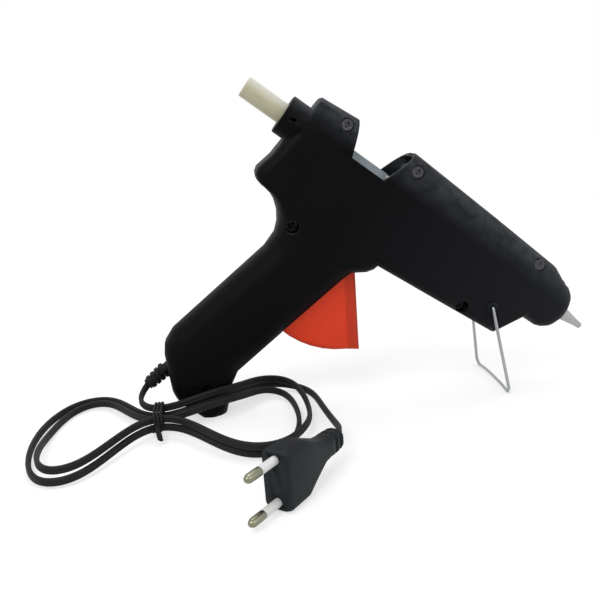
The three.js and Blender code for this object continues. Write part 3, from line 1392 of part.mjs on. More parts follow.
// Stations from the face to the cord, each a share of the body's length, half height and half thickness
const plugStationShares = [[0, 0.96, 0.9], [-0.05, 1, 1], [-0.4, 0.97, 1], [-0.62, 0.7, 0.86], [-0.86, 0.42, 0.74]];
const plugGrooveShares = [[0.25, 0], [0.28, 1], [0.42, 1], [0.45, 0], [0.65, 0], [0.68, 1], [0.82, 1], [0.85, 0]];
function plugSolid() {
  const rings = plugStationShares.map(([along, high, thick]) => crossSection(
    along * plugLength, thick * plugHalfThick, -high * plugHalfHeight, high * plugHalfHeight, plugRound, plugRound,
  ));
  const tailEnd = -plugLength - plugTail;
  rings.push(crossSection(-plugLength, plugNeckHalf, -plugNeckHalf, plugNeckHalf, plugRound, plugRound));
  for (const [along, grow] of plugGrooveShares) {
    const half = THREE.MathUtils.lerp(plugNeckHalf, plugTailHalf, along) - grow * plugGroove;
    rings.push(crossSection(-plugLength - along * plugTail, half, -half, half, plugRound - plugGroove, plugRound - plugGroove));
  }
  rings.push(crossSection(tailEnd, plugTailHalf, -plugTailHalf, plugTailHalf, plugRound, plugRound));
  let body = loft(rings);
  for (const side of [-1, 1]) body = body.subtract(plugBore(side));
  return body;
}

function turnedOnPin(profile, side) {
  return turned(profile, pinSides).translate([0, 0, (side * plugPinSpacing) / 2]);
}

function plugBore(side) {
  const radius = plugPinRadius + meshGap;
  return turnedOnPin([[-plugPinSeat, 0], [-plugPinSeat, radius], [cutOverrun, radius], [cutOverrun, 0]], side);
}

// A pin: a core inside the sleeve, and a full-width rounded tip beyond it
function plugPinSolid(side) {
  const rear = -plugPinSeat + meshGap;
  const tip = plugPinLength;
  const shoulder = pinSleeveLength + meshGap;
  return turnedOnPin([
    [rear, 0], [rear, pinCoreRadius], [shoulder, pinCoreRadius], [shoulder, plugPinRadius],
    [tip - plugPinRadius, plugPinRadius], [tip - plugPinRadius / 3, plugPinRadius * Math.SQRT1_2],
    [tip, pinCoreRadius / 2], [tip, 0],
  ], side);
}

function pinSleeveSolid(side) {
  const rear = -plugPinSeat + 2 * meshGap;
  const bore = pinCoreRadius + meshGap;
  return turnedOnPin([
    [rear, bore], [rear, pinSleeveRadius], [pinSleeveLength, pinSleeveRadius], [pinSleeveLength, bore], [rear, bore],
  ], side);
}

add(plug, 'plug_body', plugSolid(), plugPlastic);
[1, -1].forEach((side, i) => {
  add(plug, `plug_pin_${i + 1}`, plugPinSolid(side), steel);
  add(plug, `pin_sleeve_${i + 1}`, pinSleeveSolid(side), whitePlastic);
});

export default group;
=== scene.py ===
# Hot glue applicator on its toe and wire stand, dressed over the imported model. Everything is in metres.
import json
import math

import bpy
from mathutils import Matrix, Vector


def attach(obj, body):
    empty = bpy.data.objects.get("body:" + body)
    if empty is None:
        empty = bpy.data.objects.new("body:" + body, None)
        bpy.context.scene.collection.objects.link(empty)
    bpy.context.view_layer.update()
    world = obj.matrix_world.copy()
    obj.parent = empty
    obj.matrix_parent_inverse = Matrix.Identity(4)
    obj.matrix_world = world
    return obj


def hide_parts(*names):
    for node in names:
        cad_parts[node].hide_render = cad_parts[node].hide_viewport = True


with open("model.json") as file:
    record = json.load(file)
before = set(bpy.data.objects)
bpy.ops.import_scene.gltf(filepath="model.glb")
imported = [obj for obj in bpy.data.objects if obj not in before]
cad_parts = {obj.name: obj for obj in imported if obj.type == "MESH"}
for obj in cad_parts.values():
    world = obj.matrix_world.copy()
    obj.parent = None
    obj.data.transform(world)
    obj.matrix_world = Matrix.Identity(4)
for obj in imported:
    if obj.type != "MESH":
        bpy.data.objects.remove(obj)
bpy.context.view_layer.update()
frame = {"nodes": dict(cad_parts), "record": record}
bodyOfNode = {node: body for body, nodes in frame["record"]["behaviour"]["bodies"].items() for node in nodes}
slotOfNode = {part["node"]: part["material_slot"] for part in frame["record"]["subparts"]}
print("frame loaded,", len(frame["nodes"]), "nodes")

mm = 0.001


# sRGB hex to the linear colour that Blender's sockets take
def linear(hexColour):
    channels = [int(hexColour[i:i + 2], 16) / 255 for i in (0, 2, 4)]
    return [c / 12.92 if c < 0.04045 else ((c + 0.055) / 1.055) ** 2.4 for c in channels] + [1]


def selectOnly(piece):
    bpy.ops.object.select_all(action="DESELECT")
    piece.select_set(True)
    bpy.context.view_layer.objects.active = piece


# Camera at the photograph's viewing angle
view = {
    "place": (-0.06571, -0.39346, 0.15301),
    "right": (0.99295, -0.09364, -0.07268),
    "down": (-0.09257, -0.22962, -0.96887),
    "ahead": (0.07403, 0.96877, -0.23667),
    "lens": 44.385,
    "sensor": 36,
    "nearest": 0.01,
}


def addCamera():
    bpy.ops.object.camera_add()
    camera = bpy.context.object
    camera.name = "studioCamera"
    camera.data.lens = view["lens"]
    camera.data.sensor_width = view["sensor"]
    camera.data.clip_start = view["nearest"]
    columns = [Vector(view["right"]), -Vector(view["down"]), -Vector(view["ahead"])]
    turned = Matrix([[columns[c][r] for c in range(3)] for r in range(3)]).to_4x4()
    camera.matrix_world = Matrix.Translation(view["place"]) @ turned
    bpy.context.scene.camera = camera


addCamera()
print("camera set")

# One flat twin cord runs from the strain relief through the tied hank to the plug, standing on its narrow edge.
# Its route was laid out in millimetres, and its points are turned to metres at the end
cordSizes = {
    "width": 4, "thick": 2.5, "corePoints": 12,
    "gap": 0.6, "table": 0.2,  # air between stacked strands, and under the lowest one
    "hankX": -116, "hankY": -27.5, "waist": 1.2,  # where the hank is tied, and half its depth there
    "right": 70, "left": 55,  # how far the two loops reach from the tie
    "rightNear": 108, "rightFar": 118, "leftNear": 120, "leftFar": 108,  # how far each side would bulge untied
    "pinch": 0.75, "pinchPower": 2,  # how softly the loops open from the tie
    "farPinch": 0.87, "farPinchPower": 6,  # and how the far side of the right one does, which stays shut longer
    "step": 4.2, "spread": 8, "spreadPower": 4,  # from lap to lap at the tie, and what the loops' ends add
    "stackNear": 3.8, "stackFar": 7,  # strands nearer than the first are stacked, and past the second none are
    "stackUntil": 0.75, "overTwoUntil": 0.25,  # up to these laps a strand rests on the next lap, and on two
    "lift": 3, "liftPower": 4,  # the tie holds the strands off the table
    "footLift": 8, "footPlace": 0.5,  # the far strands rise behind the gun's toe
    "laps": 2.19, "pointsPerLap": 150, "turnNudge": 0.001,
}


def hankPlan(turn):
    s = cordSizes
    c = math.cos(turn)
    far = math.sin(turn) > 0
    reach = s["left"] if c < 0 else s["right"]
    near = s["leftNear"] if c < 0 else s["rightNear"]
    away = s["leftFar"] if c < 0 else s["rightFar"]
    if far and c > 0:
        opening = 1 - math.exp(-((c / s["farPinch"]) ** s["farPinchPower"]))
    else:
        opening = 1 - math.exp(-((c / s["pinch"]) ** s["pinchPower"]))
    bulge = away if far else near
    return Vector((s["hankX"] + reach * c, s["hankY"] + math.sin(turn) * (s["waist"] + bulge * opening)))


def smoothStep(value, low, high):
    t = min(1, max(0, (value - low) / (high - low)))
    return t * t * (3 - 2 * t)


def hankPoint(laps):
    s = cordSizes
    turn = math.pi / 2 - laps * math.pi * 2
    tangent = (hankPlan(turn + s["turnNudge"]) - hankPlan(turn - s["turnNudge"])).normalized()
    outside = Vector((tangent.y, -tangent.x))
    widen = s["step"] + s["spread"] * math.cos(turn) ** s["spreadPower"]
    out = abs(1 - laps)
    plan = hankPlan(turn) + outside * (out * widen)
    apart = abs(2 * out - 1)  # how many steps away the strand of one lap later runs
    if laps < s["overTwoUntil"]:
        apart = min(apart, 2 * laps)  # and the strand of two laps later
    stacked = 0
    if laps < s["stackUntil"]:
        stacked = 1 - smoothStep(apart * widen, s["stackNear"], s["stackFar"])
    lift = s["lift"] * math.sin(turn) ** s["liftPower"]
    leaning = 0
    if math.sin(turn) > 0:
        across = math.cos(turn)
        leaning = s["footLift"] * smoothStep(across, 0, s["footPlace"]) * (1 - smoothStep(across, s["footPlace"], 1))
    low = s["width"] / 2 + s["table"]
    return Vector((plan.x, plan.y, low + lift + leaning + (s["width"] + s["gap"]) * stacked))


# A centripetal curve through the places
def throughPoints(places, pointsPerSpan):
    places = [Vector(place) for place in places]
    ends = [2 * places[0] - places[1]] + places + [2 * places[-1] - places[-2]]
    line = []
    for k in range(1, len(ends) - 2):
        p0, p1, p2, p3 = ends[k - 1:k + 3]
        t0 = 0
        t1 = t0 + math.sqrt((p1 - p0).length)
        t2 = t1 + math.sqrt((p2 - p1).length)
        t3 = t2 + math.sqrt((p3 - p2).length)
        for i in range(pointsPerSpan):
            t = t1 + (t2 - t1) * i / pointsPerSpan
            a1 = p0 * ((t1 - t) / (t1 - t0)) + p1 * ((t - t0) / (t1 - t0))
            a2 = p1 * ((t2 - t) / (t2 - t1)) + p2 * ((t - t1) / (t2 - t1))
            a3 = p2 * ((t3 - t) / (t3 - t2)) + p3 * ((t - t2) / (t3 - t2))
            b1 = a1 * ((t2 - t) / (t2 - t0)) + a2 * ((t - t0) / (t2 - t0))
            b2 = a2 * ((t3 - t) / (t3 - t1)) + a3 * ((t - t1) / (t3 - t1))
            line.append(b1 * ((t2 - t) / (t2 - t1)) + b2 * ((t - t1) / (t2 - t1)))
    line.append(places[-1])
    return line


# The same line with its points a set step apart
def evenly(line, step):
    lengths = [0]
    for a, b in zip(line, line[1:]):
        lengths.append(lengths[-1] + (b - a).length)
    count = round(lengths[-1] / step)
    even, k = [], 0
    for i in range(count + 1):
        at = lengths[-1] * i / count
        while k < len(line) - 2 and lengths[k + 1] < at:
            k += 1
        span = lengths[k + 1] - lengths[k]
        even.append(line[k].lerp(line[k + 1], (at - lengths[k]) / span if span else 0))
    return even


# Each point is drawn towards its neighbours a few times, which takes the kinks out; both ends stay
def softened(line, passes):
    for _ in range(passes):
        longer = [2 * line[0] - line[1]] + line + [2 * line[-1] - line[-2]]
        line = [(a + b + c) / 3 for a, b, c in zip(longer, longer[1:], longer[2:])]
    return line


# The places that the cord passes on its way to the hank and on its way from there to the plug, in millimetres
cordPlaces = {
    "lead": [(-123.24, 0, 17.05), (-125.6, 0, 15.25), (-128, -2.2, 13.3), (-129.4, -7.5, 11.7),
             (-128.2, -13.5, 10.9)],
    "tail": [(-34.6, 8, 2.4), (-31.4, -5, 2.4), (-29.4, -23, 2.6), (-27.2, -42, 3.6), (-26.4, -58, 6.6),
             (-26.8, -71, 10.4)],
    "plugFace": (-60, -122.5, 13.2), "plugTurn": math.radians(-128.9), "plugLength": 46.3,
    "straightIn": 4.3, "straightOut": 4, "straightAtPlug": 4,  # stretches without a bend where two parts join
    "pointsPerSpan": 8, "pointStep": 2, "softenings": 3, "passes": 9,
}


def cordRoute():
    p = cordPlaces
    hankCount = round(cordSizes["laps"] * cordSizes["pointsPerLap"])
    hank = [hankPoint(i / hankCount * cordSizes["laps"]) for i in range(hankCount + 1)]
    first = (hank[1] - hank[0]).normalized()
    last = (hank[-1] - hank[-2]).normalized()
    lead = throughPoints(p["lead"] + [hank[0] - first * p["straightIn"], hank[0]], p["pointsPerSpan"])
    plugAxis = Vector((math.cos(p["plugTurn"]), math.sin(p["plugTurn"]), 0))
    plugEnd = Vector(p["plugFace"]) - plugAxis * p["plugLength"]
    tail = throughPoints([hank[-1], hank[-1] + last * p["straightOut"]] + p["tail"]
                         + [plugEnd - plugAxis * p["straightAtPlug"], plugEnd], p["pointsPerSpan"])
    route = lead[:-1] + hank + tail[1:]
    for _ in range(p["softenings"]):
        route = softened(evenly(route, p["pointStep"]), p["passes"])
    return [point * mm for point in evenly(route, p["pointStep"])]


# Two round cores side by side, moulded as one, so a groove runs along each flat side
def twinSection():
    radius = cordSizes["thick"] / 2
    offset = cordSizes["width"] / 2 - radius
    waist = math.asin(offset / radius)
    outline = []
    for side in (1, -1):
        for i in range(cordSizes["corePoints"]):
            angle = -waist + (math.pi + 2 * waist) * i / cordSizes["corePoints"]
            outline.append((side * radius * math.cos(angle) * mm, side * (offset + radius * math.sin(angle)) * mm))
    return outline


sweptCrease = math.radians(50)  # swept faces that meet more gently than this are shaded as one


# A section drawn along a line of points, closed at both ends, with its wide way kept towards wideAlong
def sweptPiece(name, points, section, wideAlong=Vector((0, 0, 1))):
    vertices, faces = [], []
    count = len(section)
    for k, point in enumerate(points):
        along = (points[min(k + 1, len(points) - 1)] - points[max(k - 1, 0)]).normalized()
        wide = (wideAlong - along * wideAlong.dot(along)).normalized()
        thin = along.cross(wide)
        for across, up in section:
            vertices.append(point + thin * across + wide * up)
        if k:
            for i in range(count):
                j = (i + 1) % count
                faces.append(((k - 1) * count + i, (k - 1) * count + j, k * count + j, k * count + i))
    faces.append(tuple(range(count))[::-1])
    faces.append(tuple((len(points) - 1) * count + i for i in range(count)))
    mesh = bpy.data.meshes.new(name)
    mesh.from_pydata([tuple(v) for v in vertices], [], faces)
    piece = bpy.data.objects.new(name, mesh)
    bpy.context.collection.objects.link(piece)
    selectOnly(piece)
    bpy.ops.object.mode_set(mode="EDIT")
    bpy.ops.mesh.select_all(action="SELECT")
    bpy.ops.mesh.normals_make_consistent(inside=False)
    bpy.ops.object.mode_set(mode="OBJECT")
    bpy.ops.object.shade_smooth_by_angle(angle=sweptCrease)
    return piece


cordPath = cordRoute()
mainsCord = sweptPiece("mainsCord", cordPath, twinSection())


# One shader node: settings fill its sockets or properties, links join its inputs to other nodes' outputs
def addNode(tree, kind, settings=None, links=None):
    node = tree.nodes.new(kind)
    for key, value in (settings or {}).items():
        if isinstance(key, int) or key in node.inputs:
            node.inputs[key].default_value = value
        else:
            setattr(node, key, value)
    for key, source in (links or {}).items():
        tree.links.new(source, node.inputs[key])
    return node


def newMaterial(name, shaderSettings):
    material = bpy.data.materials.new(name)
    material.use_nodes = True
    tree = material.node_tree
    tree.nodes.clear()
    shader = addNode(tree, "ShaderNodeBsdfPrincipled", shaderSettings)
    addNode(tree, "ShaderNodeOutputMaterial", links={"Surface": shader.outputs["BSDF"]})
    return material, tree, shader


restPitch = math.radians(38.9)  # how far the gun leans, so that patterns can follow its barrel
barrelUp = (math.sin(restPitch), 0, math.cos(restPitch))


# Object coordinates turned so that X runs along the barrel and Z stands square on it
def gunCoordinates(tree):
    place = addNode(tree, "ShaderNodeTexCoord")
    return addNode(tree, "ShaderNodeMapping", {"Rotation": (0, -restPitch, 0)}, {"Vector": place.outputs["Object"]})


# How far a surface is from flat just here, from 0 on a face to 1 on an edge
def edgeShare(tree, rounded):
    flat = addNode(tree, "ShaderNodeNewGeometry")
    facing = addNode(tree, "ShaderNodeVectorMath", {"operation": "DOT_PRODUCT"},
                     {0: rounded.outputs["Normal"], 1: flat.outputs["Normal"]})
    return addNode(tree, "ShaderNodeMapRange", {"From Min": 0.995, "From Max": 0.9},
                   {"Value": facing.outputs["Value"]})


# How far a surface looks up from the barrel: nothing below the low share, and the most above the high one
def upwardShare(tree, low, high, most):
    surface = addNode(tree, "ShaderNodeNewGeometry")
    facing = addNode(tree, "ShaderNodeVectorMath", {"operation": "DOT_PRODUCT", 1: barrelUp},
                     {0: surface.outputs["Normal"]})
    return addNode(tree, "ShaderNodeMapRange", {"From Min": low, "From Max": high, "To Max": most},
                   {"Value": facing.outputs["Value"]})


# ABS housing from a spark-eroded tool: near black with a satin grain, paler along the barrel towards the nozzle,
# with a patchy painted highlight on top of the barrel and a painted highlight along the edges. The grain is drawn
# about three times as coarse as the real one, so that it shows
absFinish = {
    "grain": 0.35 * mm, "flow": 28 * mm, "blotch": 6 * mm, "edge": 0.5 * mm,
    "darkEnd": -70 * mm, "paleEnd": 50 * mm,  # along the barrel
    "topHighlightFrom": 101 * mm, "topHighlightFull": 114 * mm,  # square to the barrel
}


def mouldedAbs():
    material, tree, shader = newMaterial("mouldedAbs", {"IOR": 1.53, "Specular IOR Level": 0.05})
    place = gunCoordinates(tree)
    spot = addNode(tree, "ShaderNodeSeparateXYZ", links={"Vector": place.outputs["Vector"]})
    grain = addNode(tree, "ShaderNodeTexNoise", {"Scale": 1 / absFinish["grain"], "Detail": 3.0, "Roughness": 0.6},
                    {"Vector": place.outputs["Vector"]})
    flow = addNode(tree, "ShaderNodeTexNoise", {"Scale": 1 / absFinish["flow"], "Detail": 4.0},
                   {"Vector": place.outputs["Vector"]})
    blotches = addNode(tree, "ShaderNodeTexNoise", {"Scale": 1 / absFinish["blotch"], "Detail": 5.0},
                       {"Vector": place.outputs["Vector"]})

    plain = addNode(tree, "ShaderNodeMix", {"data_type": "RGBA", 6: linear("030304"), 7: linear("060608")},
                    {0: flow.outputs["Fac"]})
    # the tone grades from darker at the handle end to paler towards the nozzle
    towardsNozzle = addNode(tree, "ShaderNodeMapRange", {"From Min": absFinish["darkEnd"], "From Max": absFinish["paleEnd"]},
                     {"Value": spot.outputs["X"]})
    graded = addNode(tree, "ShaderNodeMix", {"data_type": "RGBA", 7: linear("141518")},
                    {0: towardsNozzle.outputs["Result"], 6: plain.outputs[2]})

    # painted highlight: faces that look up from the barrel, and a band along its top, are mixed towards a paler grey
    # in noisy patches
    upward = upwardShare(tree, 0.35, 0.95, 1.0)
    high = addNode(tree, "ShaderNodeMapRange",
                   {"From Min": absFinish["topHighlightFrom"], "From Max": absFinish["topHighlightFull"], "To Max": 0.85},
                   {"Value": spot.outputs["Z"]})
    topHighlightReach = addNode(tree, "ShaderNodeMath", {"operation": "MAXIMUM"},
                      {0: upward.outputs["Result"], 1: high.outputs["Result"]})
    patchy = addNode(tree, "ShaderNodeMapRange", {"From Min": 0.35, "From Max": 0.65, "To Min": 0.35},
                     {"Value": blotches.outputs["Fac"]})
    patchyTopHighlight = addNode(tree, "ShaderNodeMath", {"operation": "MULTIPLY"},
                   {0: topHighlightReach.outputs[0], 1: patchy.outputs["Result"]})
    topHighlighted = addNode(tree, "ShaderNodeMix", {"data_type": "RGBA", 7: linear("303338")},
                    {0: patchyTopHighlight.outputs[0], 6: graded.outputs[2]})

    # painted highlight: edges are mixed towards a paler grey, as if they caught the light
    edge = addNode(tree, "ShaderNodeBevel", {"samples": 6, "Radius": absFinish["edge"]})
    edgeHighlighted = addNode(tree, "ShaderNodeMix", {"data_type": "RGBA", 7: linear("2b2d30")},
                  {0: edgeShare(tree, edge).outputs["Result"], 6: topHighlighted.outputs[2]})
    tree.links.new(edgeHighlighted.outputs[2], shader.inputs["Base Color"])
    rough = addNode(tree, "ShaderNodeMapRange", {"To Min": 0.42, "To Max": 0.6}, {"Value": flow.outputs["Fac"]})
    tree.links.new(rough.outputs["Result"], shader.inputs["Roughness"])
    bump = addNode(tree, "ShaderNodeBump", {"Strength": 0.25, "Distance": 0.05 * mm},
                   {"Height": grain.outputs["Fac"], "Normal": edge.outputs["Normal"]})
    tree.links.new(bump.outputs["Normal"], shader.inputs["Normal"])
    return material


# A moulded or extruded polymer, with a little colour drift and a grain of its own size, drawn as coarse as
# it needs to be to show
def plainMoulded(name, dark, light, roughness, specular, grainSize, grainStrength):
    material, tree, shader = newMaterial(name, {
        "Roughness": roughness, "IOR": 1.5, "Specular IOR Level": specular,
    })
    place = addNode(tree, "ShaderNodeTexCoord")
    grain = addNode(tree, "ShaderNodeTexNoise", {"Scale": 1 / grainSize, "Detail": 3.0},
                    {"Vector": place.outputs["Object"]})
    drift = addNode(tree, "ShaderNodeTexNoise", {"Scale": 1 / (15 * mm), "Detail": 3.0},
                    {"Vector": place.outputs["Object"]})
    colour = addNode(tree, "ShaderNodeMix", {"data_type": "RGBA", 6: linear(dark), 7: linear(light)},
                     {0: drift.outputs["Fac"]})
    tree.links.new(colour.outputs[2], shader.inputs["Base Color"])
    edge = addNode(tree, "ShaderNodeBevel", {"samples": 4, "Radius": 0.3 * mm})
    bump = addNode(tree, "ShaderNodeBump", {"Strength": grainStrength, "Distance": 0.05 * mm},
                   {"Height": grain.outputs["Fac"], "Normal": edge.outputs["Normal"]})
    tree.links.new(bump.outputs["Normal"], shader.inputs["Normal"])
    return material


# A metal with the lines of how it was drawn, turned or rolled, running along the barrel, or round it where
# lineStretch is under 1. They are drawn coarser than the real ones, so that they show
def workedMetal(name, colour, roughness, lineSize, lineStretch, lineStrength):
    material, tree, shader = newMaterial(name, {"Metallic": 1.0, "Base Color": linear(colour)})
    place = gunCoordinates(tree)
    stretched = addNode(tree, "ShaderNodeMapping", {"Scale": (1 / lineStretch, 1, 1)},
                        {"Vector": place.outputs["Vector"]})
    lines = addNode(tree, "ShaderNodeTexNoise", {"Scale": 1 / lineSize, "Detail": 2.0},
                    {"Vector": stretched.outputs["Vector"]})
    rough = addNode(tree, "ShaderNodeMapRange", {"To Min": roughness * 0.75, "To Max": roughness * 1.3},
                    {"Value": lines.outputs["Fac"]})
    tree.links.new(rough.outputs["Result"], shader.inputs["Roughness"])
    bump = addNode(tree, "ShaderNodeBump", {"Strength": lineStrength, "Distance": 0.02 * mm},
                   {"Height": lines.outputs["Fac"]})
    tree.links.new(bump.outputs["Normal"], shader.inputs["Normal"])
    return material


# EVA hot-melt stick: milky, with a little light let in, cloudy streaks, a waxy skin and a painted highlight along
# its top
def hotMelt():
    material, tree, shader = newMaterial("evaHotMelt", {
        "Roughness": 0.38, "IOR": 1.48, "Specular IOR Level": 0.4,
        "Subsurface Weight": 0.25, "Subsurface Radius": (0.9, 0.8, 0.55), "Subsurface Scale": 3 * mm,
    })
    place = gunCoordinates(tree)
    streaked = addNode(tree, "ShaderNodeMapping", {"Scale": (0.25, 1, 1)}, {"Vector": place.outputs["Vector"]})
    cloud = addNode(tree, "ShaderNodeTexNoise", {"Scale": 1 / (4 * mm), "Detail": 3.0},
                    {"Vector": streaked.outputs["Vector"]})
    colour = addNode(tree, "ShaderNodeMix", {"data_type": "RGBA", 6: linear("928f76"), 7: linear("a9a68f")},
                     {0: cloud.outputs["Fac"]})
    # painted highlight: faces that look up are mixed towards a paler cream
    highlightedTop = addNode(tree, "ShaderNodeMix", {"data_type": "RGBA", 7: linear("b4b4aa")},
                    {0: upwardShare(tree, 0.1, 0.9, 0.8).outputs["Result"], 6: colour.outputs[2]})
    tree.links.new(highlightedTop.outputs[2], shader.inputs["Base Color"])
    bump = addNode(tree, "ShaderNodeBump", {"Strength": 0.2, "Distance": 0.1 * mm}, {"Height": cloud.outputs["Fac"]})
    tree.links.new(bump.outputs["Normal"], shader.inputs["Normal"])
    return material


# The trigger's front face is darker, a painted shade where its rounded front turns away from the light
triggerFrontShade = {"facing": (0.7836, 0, 0.621), "from": -13 * mm, "full": -11.5 * mm, "share": 0.35}


def paintedFrontShade(material):
    tree = material.node_tree
    shader = next(node for node in tree.nodes if node.type == "BSDF_PRINCIPLED")
    # painted shade: the base colour is mixed towards a deep red across a band at the front of the blade
    across = addNode(tree, "ShaderNodeVectorMath", {"operation": "DOT_PRODUCT", 1: triggerFrontShade["facing"]},
                     {0: gunCoordinates(tree).outputs["Vector"]})
    shadeBand = addNode(tree, "ShaderNodeMapRange", {
        "From Min": triggerFrontShade["from"], "From Max": triggerFrontShade["full"], "To Max": triggerFrontShade["share"],
    }, {"Value": across.outputs["Value"]})
    plain = shader.inputs["Base Color"].links[0].from_socket
    frontShaded = addNode(tree, "ShaderNodeMix", {"data_type": "RGBA", 7: linear("6e1407")},
                     {0: shadeBand.outputs["Result"], 6: plain})
    tree.links.new(frontShaded.outputs[2], shader.inputs["Base Color"])
    return material


finishes = {
    "housing_plastic": mouldedAbs(),
    # orange-red and satin, the one warm colour of the tool
    "trigger_plastic": paintedFrontShade(plainMoulded("orangePolypropylene", "b62c0e", "c23413", 0.45, 0.2, 0.5 * mm, 0.15)),
    # cool grey and slippery, seen as a strip beside the stick
    "carriage_plastic": plainMoulded("greyAcetal", "7c858a", "8b949a", 0.4, 0.4, 0.6 * mm, 0.1),
    # bluish black with a coarser grain than the housing's
    "plug_plastic": plainMoulded("plugPvc", "13171a", "1b2022", 0.55, 0.12, 0.4 * mm, 0.3),
    # soft black, dull where it has been handled
    "cord_rubber": plainMoulded("cordPvc", "131315", "202022", 0.6, 0.12, 0.8 * mm, 0.2),
    # smooth off-white at the roots of the plug's pins
    "pin_sleeve": plainMoulded("whitePolyamide", "b8b8b7", "c6c6c4", 0.45, 0.4, 0.6 * mm, 0.1),
    # dull brick red, inside at the melt chamber's inlet
    "silicone": plainMoulded("redSilicone", "a84433", "b85040", 0.65, 0.3, 0.5 * mm, 0.2),
    # chalky and matt, as it is fired without a glaze
    "ceramic": plainMoulded("unglazedAlumina", "ddd8ca", "ebe7dc", 0.7, 0.3, 0.3 * mm, 0.4),
    # cream and rough, as it is woven
    "lead_sleeving": plainMoulded("glassSleeving", "cdc8ba", "e2dfd4", 0.8, 0.2, 0.4 * mm, 0.6),
    "glue": hotMelt(),
    # deep screws, darkened steel as painted shade, so that they are lost in their wells
    "blackened_steel": workedMetal("shadeDarkSteel", "2c2c30", 0.5, 0.3 * mm, 2, 0.2),
    # bright and clean on the inner pins and screws
    "steel": workedMetal("zincPlatedSteel", "b8babc", 0.3, 0.3 * mm, 2, 0.2),
    # bright, with the long lines of the drawing die
    "steel_wire": workedMetal("drawnSpringWire", "9fa2a4", 0.28, 0.2 * mm, 12, 0.25),
    # pale and sandy, as it came from the mould
    "aluminium": workedMetal("castAluminium", "a8aaab", 0.5, 0.6 * mm, 1, 0.5),
    # grey, with the rings that the lathe left round it
    "nozzle_metal": workedMetal("turnedNozzleSteel", "a2a3a4", 0.32, 0.25 * mm, 0.2, 0.3),
    # warm grey where the nickel has worn thin over the brass
    "pin_metal": workedMetal("nickelPlatedBrass", "82826f", 0.3, 0.3 * mm, 3, 0.15),
}
# the three shallow screws get a darker copy of the steel, a painted shade for their wells, so that they stay quiet
# in the black housing
wellShadedSteel = workedMetal("wellShadedScrewSteel", "48484b", 0.25, 0.3 * mm, 2, 0.3)
print("materials made,", len(finishes))


def dress(piece, slotName, finish=None):
    piece.data.materials.clear()
    piece.data.materials.append(finish or finishes[slotName])
    return piece


# Every carried-over node gets its finish, and those that show are smoothed as copies
smoothed = {
    "right_shell": "housingRight", "left_shell": "housingLeft", "trigger": "triggerBlade", "nozzle": "nozzleTip",
    "glue_stick": "glueStick", "wire_stand": "wireStand", "strain_relief": "strainRelief",
    "feed_carriage": "feedCarriage", "plug_body": "plugBody", "plug_pin_1": "plugPinUpper",
    "plug_pin_2": "plugPinLower", "pin_sleeve_1": "pinSleeveUpper", "pin_sleeve_2": "pinSleeveLower",
    "housing_screw_block": "screwBlock", "housing_screw_barrel_rear": "screwBarrelRear",
    "housing_screw_barrel_front": "screwBarrelFront", "housing_screw_barrel_low": "screwBarrelLow",
    "housing_screw_handle_top": "screwHandleTop", "housing_screw_handle_foot": "screwHandleFoot",
}
smoothing = {"mergeWithin": 0.002 * mm, "crease": math.radians(32)}


def smoothCopy(nodeName, pieceName):
    selectOnly(frame["nodes"][nodeName])
    bpy.ops.object.duplicate()
    piece = bpy.context.object
    piece.name = pieceName
    piece.data.name = pieceName
    selectOnly(piece)
    bpy.ops.object.mode_set(mode="EDIT")
    bpy.ops.mesh.select_all(action="SELECT")
    bpy.ops.mesh.remove_doubles(threshold=smoothing["mergeWithin"])
    bpy.ops.object.mode_set(mode="OBJECT")
    bpy.ops.object.shade_smooth_by_angle(angle=smoothing["crease"])
    evenNormals = piece.modifiers.new("evenNormals", "WEIGHTED_NORMAL")
    evenNormals.keep_sharp = True
    bpy.ops.object.modifier_apply(modifier=evenNormals.name)
    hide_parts(nodeName)
    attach(piece, bodyOfNode[nodeName])
    return piece


for nodeName, node in frame["nodes"].items():
    if nodeName in smoothed:
        shallowScrew = nodeName.startswith("housing_screw") and slotOfNode[nodeName] == "steel"
        dress(smoothCopy(nodeName, smoothed[nodeName]), slotOfNode[nodeName],
                                wellShadedSteel if shallowScrew else None)
    else:
        dress(node, slotOfNode[nodeName])

# A twist tie wound three times round the strands, its two ends twisted together and left standing out.
# Its sizes are in millimetres
tie = {
    "x": -116, "radius": 0.75, "wireSides": 8, "strandsWithin": 4,
    "turns": 3, "pitch": 1.7, "squareness": 0.6, "pointsPerTurn": 32,
    "tail": 9, "twists": 2.5, "tailShift": 2.2, "tailBelow": 1, "tailDroop": 3.5, "tailPoints": 24,
}
tiedPoints = [point / mm for point in cordPath if abs(point.x / mm - tie["x"]) < tie["strandsWithin"]]


# The middle of the tied strands along one axis, and how far the tie's wire runs from it
def tiedSpan(axis, cordHalf):
    places = [getattr(point, axis) for point in tiedPoints]
    return (min(places) + max(places)) / 2, (max(places) - min(places)) / 2 + cordHalf + tie["radius"]


tieY, tieHalfY = tiedSpan("y", cordSizes["thick"] / 2)
tieZ, tieHalfZ = tiedSpan("z", cordSizes["width"] / 2)


def tiePath():
    line = []
    for i in range(tie["pointsPerTurn"] * tie["turns"] + 1):
        turns = i / tie["pointsPerTurn"]
        angle = turns * 2 * math.pi - math.pi
        c, s = math.cos(angle), math.sin(angle)
        line.append((tie["x"] + tie["pitch"] * (turns - tie["turns"] / 2),
                     tieY + tieHalfY * math.copysign(abs(c) ** tie["squareness"], c),
                     tieZ + tieHalfZ * math.copysign(abs(s) ** tie["squareness"], s)))
    return [Vector(point) * mm for point in line]


